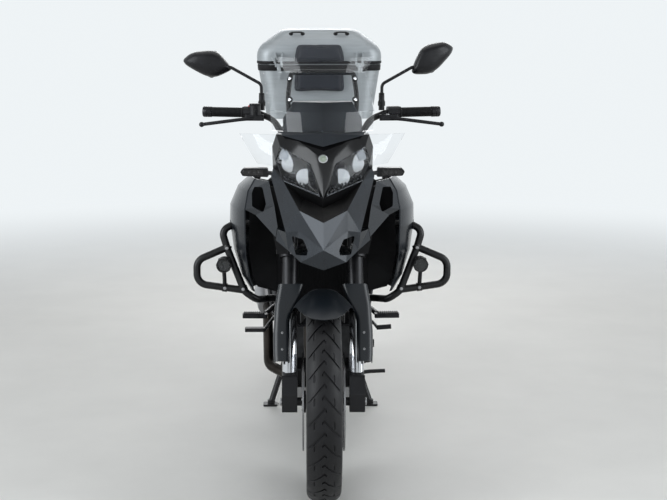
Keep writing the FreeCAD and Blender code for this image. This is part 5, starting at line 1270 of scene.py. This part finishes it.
def wheel_fixings():
    """Disc and sprocket bolts, spoke nipples, valves and axle nuts."""
    front = wheel_bolts(FRONT_AXLE, -68.5, 28, 4.6) + wheel_bolts(FRONT_AXLE, 68.5, 28, 4.6)
    bolts("front_disc_bolts", front, "front_wheel")
    rear = wheel_bolts(REAR_AXLE, -100.5, 32, 4.8) + wheel_bolts(REAR_AXLE, 101, 42, 5.4)
    bolts("rear_hub_bolts", rear, "rear_wheel")
    for name, axle, radius, rim_x in (("front", FRONT_AXLE, FRONT_RIM_RADIUS, 8),
                                      ("rear", REAR_AXLE, REAR_RIM_RADIUS, 14)):
        nipples = []
        for index in range(SPOKES):
            y, z = on_circle(index, SPOKES)
            side = 1 if index % 2 else -1
            reach = radius - NIPPLE_DEPTH
            place = (side * rim_x, axle[1] + reach * y, axle[2] + reach * z)
            nipples.append(lathe_mesh([(3.4, 0), (3.4, 7), (4.4, 8), (4.4, 14)], place, (0, y, z), 8))
        y, z = on_circle(5, 360)
        reach = radius - VALVE_DEPTH
        valve = (0, axle[1] + reach * y, axle[2] + reach * z)
        stem = [(2.6, 0), (4.0, 1), (4.0, 12), (3.0, 13), (3.0, 34)]
        nipples.append(lathe_mesh(stem, valve, (0, y, z), 12))
        joined(f"{name}_nipples", nipples, "steel", f"{name}_wheel")
    nuts = [lathe_mesh([(15, 0), (15, 9), (13, 11), (9, 11), (8, 14), (0, 14)],
                       (side * 159, *REAR_AXLE[1:]), (side, 0, 0), 6) for side in (-1, 1)]
    joined("rear_axle_nuts", nuts, "steel")
    ends = [lathe_mesh([(13, -2), (13, 1.6), (11, 3.0), (6.5, 3.0), (6.5, 0.4), (0, 0.4)],
                       (side * 138, *FRONT_AXLE[1:]), (side, 0, 0), 28) for side in (-1, 1)]
    joined("front_axle_ends", ends, "steel", "steering")


def fork_bolts():
    """Pinch bolts on the fork's bridges and bolts of the leg guards."""
    heads = []
    for side in (-1, 1):
        x = side * (FORK_HALF_SPACING - 6)
        for height in BRIDGE_BOLT_HEIGHTS:
            place = on_axis(x, AXLE_ALONG_AXIS + height, FORK_OFFSET + 35.5)
            heads.append((place, STEER_AHEAD, 4.2))
        for height in GUARD_BOLT_LEVELS:
            place = on_axis(side * GUARD_BOLT_X, AXLE_ALONG_AXIS + height, GUARD_AHEAD + 4.2)
            heads.append((place, STEER_AHEAD, 4.6))
    bolts("fork_bolts", heads, "steering")


def engine_bolts():
    """Bolts of the clutch and generator covers."""
    heads = []
    for side, y_mid, z_mid, reach in ENGINE_COVERS:
        for index in range(ENGINE_BOLTS):
            along, up = on_circle(index, ENGINE_BOLTS, reach, 0.2)
            heads.append(((side * 150, y_mid + along, z_mid + up), (side, 0, 0), 4.6))
    bolts("engine_bolts", heads, "chassis")


def guard_clamps():
    """Clamp straps and their bolts on the crash bars."""
    parts = []
    heads = []
    for side in (-1, 1):
        for place, axis in BAR_CLAMPS:
            along = (axis[0] * side, axis[1], axis[2])
            spot = Vector((place[0] * side, place[1], place[2]))
            parts.append(lathe_mesh([(13.4, -9), (15.0, -8), (15.0, 8), (13.4, 9)], spot, along, 24))
            heads.append((spot + Vector((0, -15.4, 0)), AHEAD, 4.2))
    joined("guard_clamps", parts, "powder")
    bolts("guard_bolts", heads, "chassis")


def peg_rubbers():
    """Ribbed rubber tops of the four footpegs."""
    parts = []
    for side in (-1, 1):
        for y_low, y_high, x_low, x_high, top in PEGS:
            low, high = sorted((side * x_low, side * x_high))
            parts.append(block_mesh((low, high), (y_low, y_high), (top - 1, top + 3)))
            for index in range(int((x_high - x_low) / PEG_RIB_STEP)):
                x = low + PEG_RIB_STEP // 2 + index * PEG_RIB_STEP
                parts.append(block_mesh((x - 1.6, x + 1.6), (y_low + 2, y_high - 2), (top + 2.6, top + 6)))
    joined("peg_rubbers", parts, "rubber", sharp=30, bevel=0.7)


radiator_fins()
wheel_fixings()
fork_bolts()
engine_bolts()
guard_clamps()
peg_rubbers()


# Top box fittings and tail

BOX_FRONT = 622.0
BOX_REAR = 1052.0
BOX_CORNER = 62.0
# Levels of the box's skins: z, half width, setback of the ends
TUB_LEVELS = [(1142, 219.4, -1.2), (1150, 220.6, -1.2), (1338, 250.6, -1.2)]
LID_LEVELS = [
    (1377, 257.5, -2.5), (1394, 258.5, -2.5), (1410, 257.0, -1.5), (1424, 252.5, 1), (1436, 245.5, 5.5),
    (1446, 236.5, 11), (1460, 218.5, 22), (1478, 193.5, 37), (1490, 177, 47), (1497, 167, 53),
    (1501, 158.5, 58), (1503.5, 146, 65), (1504.5, 125, 78),
]
BOX_BAND = [(1338, 253.4, -3.4), (1340, 254.6, -4.2), (1360, 256.4, -4.2), (1362, 255.6, -3.2)]
LID_BAND = [(1366, 257.4, -3.0), (1367.5, 258.6, -4.2), (1376, 259.2, -4.2), (1377.5, 258.4, -3.2)]
LATCH_X = 120
RIVET_LEVELS = (1165, 1205, 1245, 1285, 1325)
TIE_LOOPS = ((-92, 668), (92, 668), (-92, 1008), (92, 1008))
TIE_LOOP_Z = 1487
TIE_LOOP_PATH = ((-24, -3), (-24, 9), (-16, 13), (16, 13), (24, 9), (24, -3))


def box_loop(z, half, cut):
    """Outline of the box at a level, with rounded corners."""
    front = BOX_FRONT + cut + BOX_CORNER
    rear = BOX_REAR - cut - BOX_CORNER
    side = half - BOX_CORNER
    places = []
    for mid_x, mid_y, turn in ((side, front, -90), (side, rear, 0), (-side, rear, 90), (-side, front, 180)):
        for step in range(9):
            angle = math.radians(turn + 90 * step / 8)
            places.append((mid_x + BOX_CORNER * math.cos(angle), mid_y + BOX_CORNER * math.sin(angle), z))
    return places


def box_skin(name, levels, body, key, thickness=2.0, closed=False):
    """Sheet round the box through its levels, closed at the top or open."""
    rows = len(levels)
    lower = thickness / (rows - 1) if closed else 0.0
    outer = [box_loop(z, half, cut) for z, half, cut in levels]
    inner = [box_loop(z - lower * index, half - thickness, cut + thickness)
             for index, (z, half, cut) in enumerate(levels)]
    count = len(outer[0])
    under = rows * count
    faces = grid_faces(rows, count) + grid_faces(rows, count, under) + rim_walls(0, under, count)
    last = under - count
    if closed:
        faces += [tuple(range(last, under)), tuple(range(under + last, 2 * under))]
    else:
        faces += rim_walls(last, under + last, count)
    mesh_piece(name, [place for row in outer + inner for place in row], faces, key, body, 40)


def box_fittings():
    """Skins and black bands of tub and lid, latches with their keepers, lock and rivets."""
    box_skin("tub_skin", TUB_LEVELS, "chassis", "box_silver")
    box_skin("lid_skin", LID_LEVELS, "box_lid", "box_silver", 1.6, True)
    box_skin("box_band", BOX_BAND, "chassis", "matte", 4.0)
    box_skin("lid_band", LID_BAND, "box_lid", "matte", 4.0)
    latches = [block_mesh((x - 17, x + 17), (1053, 1060), (1318, 1362)) for x in (-LATCH_X, LATCH_X)]
    keepers = [block_mesh((x - 15, x + 15), (1052, 1058), (1366, 1388)) for x in (-LATCH_X, LATCH_X)]
    joined("box_latches", latches, "satin", sharp=30, bevel=1.5)
    joined("lid_keepers", keepers, "satin", "box_lid", 30, 1.5)
    lathe("box_lock", [(9, 0), (9, 3), (8, 4), (3, 4), (3, 3), (0, 3)], (0, 1054.5, 1335), (0, 1, 0),
          "chrome")
    rivets = []
    for side in (-1, 1):
        for z in RIVET_LEVELS:
            x = 218 + 34 * (z - 1140) / 224 - 16.6
            for end, y in ((-1, 639.3), (1, 1034.7)):
                rivets.append(lathe_mesh([(3.6, -1), (3.6, 0.6), (2.4, 1.6), (0, 2.0)], (side * x, y, z),
                                         (side, end, 0), 14))
    joined("box_rivets", rivets, "steel")


def tie_loops():
    """Four small tie-down loops on the lid, each a bent bar on two feet."""
    for index, (x, y) in enumerate(TIE_LOOPS):
        place = Vector((x, y, TIE_LOOP_Z))
        out = Vector((0, -60 if y < 800 else 60, 46)).normalized()
        path = [place + Vector((step, 0, 0)) + out * lift for step, lift in TIE_LOOP_PATH]
        tube(f"tie_loop_{index}", path, 3.2, "powder", "box_lid")
        feet = [lathe_mesh([(9, -3), (9, 1.6), (7.5, 2.6), (4, 2.6)], place + Vector((step, 0, 0)), out, 24)
                for step in (-24, 24)]
        joined(f"tie_feet_{index}", feet, "powder", "box_lid")


PLATE_MIDDLE = Vector((0, 1054.5, 714))
PLATE_DOWN = Vector((0, 82, -200)).normalized()
PLATE_OUT = Vector((0, 200, 82)).normalized()


def on_plate(x, along, out):
    """Point from its place across, down and behind the number plate's middle."""
    return PLATE_MIDDLE + Vector((x, 0, 0)) + PLATE_DOWN * along + PLATE_OUT * out


def tail_fittings():
    """Red tail lamp cover and the blank plate with its frame and bolts."""
    lamp = slab_mesh([(-66, 908), (66, 908), (64, 946), (-64, 946)], 1, 903, 909)
    joined("tail_lens", [lamp], "lens_red", sharp=30, bevel=1.5)
    for name, half_x, half_z, lift, depth, key in (("plate_frame", 93, 101, 2.0, 2.4, "matte"),
                                                   ("plate_blank", 88, 96, 3.8, 1.2, "white")):
        corners = ((-half_x, -half_z), (half_x, -half_z), (half_x, half_z), (-half_x, half_z))
        points = [on_plate(x, along, level) for level in (lift, lift + depth) for x, along in corners]
        mesh_piece(name, points, ends_of(2, 4) + grid_faces(2, 4), key, sharp=30, bevel=1.0)
    heads = [(on_plate(x, -86, 4.8), PLATE_OUT, 3.6) for x in (-60, 60)]
    bolts("plate_bolts", heads, "chassis")


box_fittings()
tie_loops()
tail_fittings()


# Floor, light and background

BACKGROUND = (0.86, 0.90, 0.92)
FLOOR = (0.70, 0.69, 0.66)
FLOOR_RADIUS = 14000
FADE_FROM = 2.2
FADE_TO = 6.5
LAMP_COLOUR = (0.93, 0.97, 1.0)


def seen_rays(tree):
    """1 for rays of the camera, of glass and of mirrors, and 0 for light that falls on the object."""
    rays = add_node(tree, "LightPath", {})
    seen = maths(tree, "MAXIMUM", rays.outputs["Is Camera Ray"], rays.outputs["Is Transmission Ray"])
    return maths(tree, "MAXIMUM", seen, rays.outputs["Is Glossy Ray"])


def make_floor():
    """Plain pale floor that fades into the background far from the object."""
    data = bpy.data.meshes.new("floor")
    points = lathe_mesh([(FLOOR_RADIUS, 0)], (0, 0, 0), (0, 0, 1), 64)[0]
    data.from_pydata([tuple(c * MM for c in p) for p in points], [], [tuple(range(64))])
    floor = bpy.data.objects.new("floor", data)
    bpy.context.scene.collection.objects.link(floor)
    material = bpy.data.materials.new("floor")
    tree = empty_tree(material)
    place = object_place(tree)
    paint = mottled(tree, noise(tree, place, 3.0, 6.0), FLOOR, 0.03)
    shader = add_node(tree, "BsdfPrincipled", {"Roughness": 0.55, "Base Color": paint})
    glow = add_node(tree, "Emission", {"Color": (*BACKGROUND, 1.0)})
    length = add_node(tree, "VectorMath", {0: place}, operation="LENGTH").outputs["Value"]
    far = add_node(tree, "MapRange", {"From Min": FADE_FROM, "From Max": FADE_TO, "Value": length},
                   interpolation_type="SMOOTHSTEP").outputs["Result"]
    mix = add_node(tree, "MixShader", {"Fac": maths(tree, "MULTIPLY", far, seen_rays(tree)),
                                       1: shader.outputs["BSDF"], 2: glow.outputs["Emission"]})
    add_node(tree, "OutputMaterial", {"Surface": mix.outputs["Shader"]})
    data.materials.append(material)


def make_world():
    """Pale background; softer light from it on the object."""
    world = bpy.data.worlds.new("studio")
    bpy.context.scene.world = world
    tree = empty_tree(world)
    light = add_node(tree, "Background", {"Color": (0.90, 0.95, 1.0, 1.0), "Strength": 0.34})
    direction = add_node(tree, "TexCoord", {}).outputs["Generated"]
    height = add_node(tree, "SeparateXYZ", {"Vector": direction}).outputs["Z"]
    backdrop = ramp(tree, height, (0.42, BACKGROUND), (0.85, shade(BACKGROUND, 0.32)))
    shown = add_node(tree, "Background", {"Color": backdrop, "Strength": 1.0})
    mix = add_node(tree, "MixShader", {"Fac": seen_rays(tree), 1: light.outputs["Background"],
                                       2: shown.outputs["Background"]})
    add_node(tree, "OutputWorld", {"Surface": mix.outputs["Shader"]})


def make_lamp(name, place, target, size, power, colour=(1, 1, 1)):
    """Soft rectangular lamp that faces a place."""
    data = bpy.data.lights.new(name, "AREA")
    data.shape = "RECTANGLE"
    data.size, data.size_y = size
    data.energy = power
    data.color = colour
    lamp = bpy.data.objects.new(name, data)
    lamp.location = place
    lamp.rotation_euler = (Vector(target) - Vector(place)).to_track_quat("-Z", "Y").to_euler()
    bpy.context.scene.collection.objects.link(lamp)


make_floor()
make_world()
make_lamp("lamp_left", (-3.6, -2.4, 2.4), (0, -0.4, 0.8), (2.4, 3.4), 108, LAMP_COLOUR)
make_lamp("lamp_right", (3.6, -1.8, 2.2), (0, -0.4, 0.8), (2.2, 3.2), 74, LAMP_COLOUR)
make_lamp("lamp_top", (0, 0.4, 4.2), (0, 0, 0.6), (3.2, 3.2), 28)
make_lamp("lamp_back", (0.4, 3.8, 2.6), (0, 0.4, 0.9), (3.0, 1.6), 60)
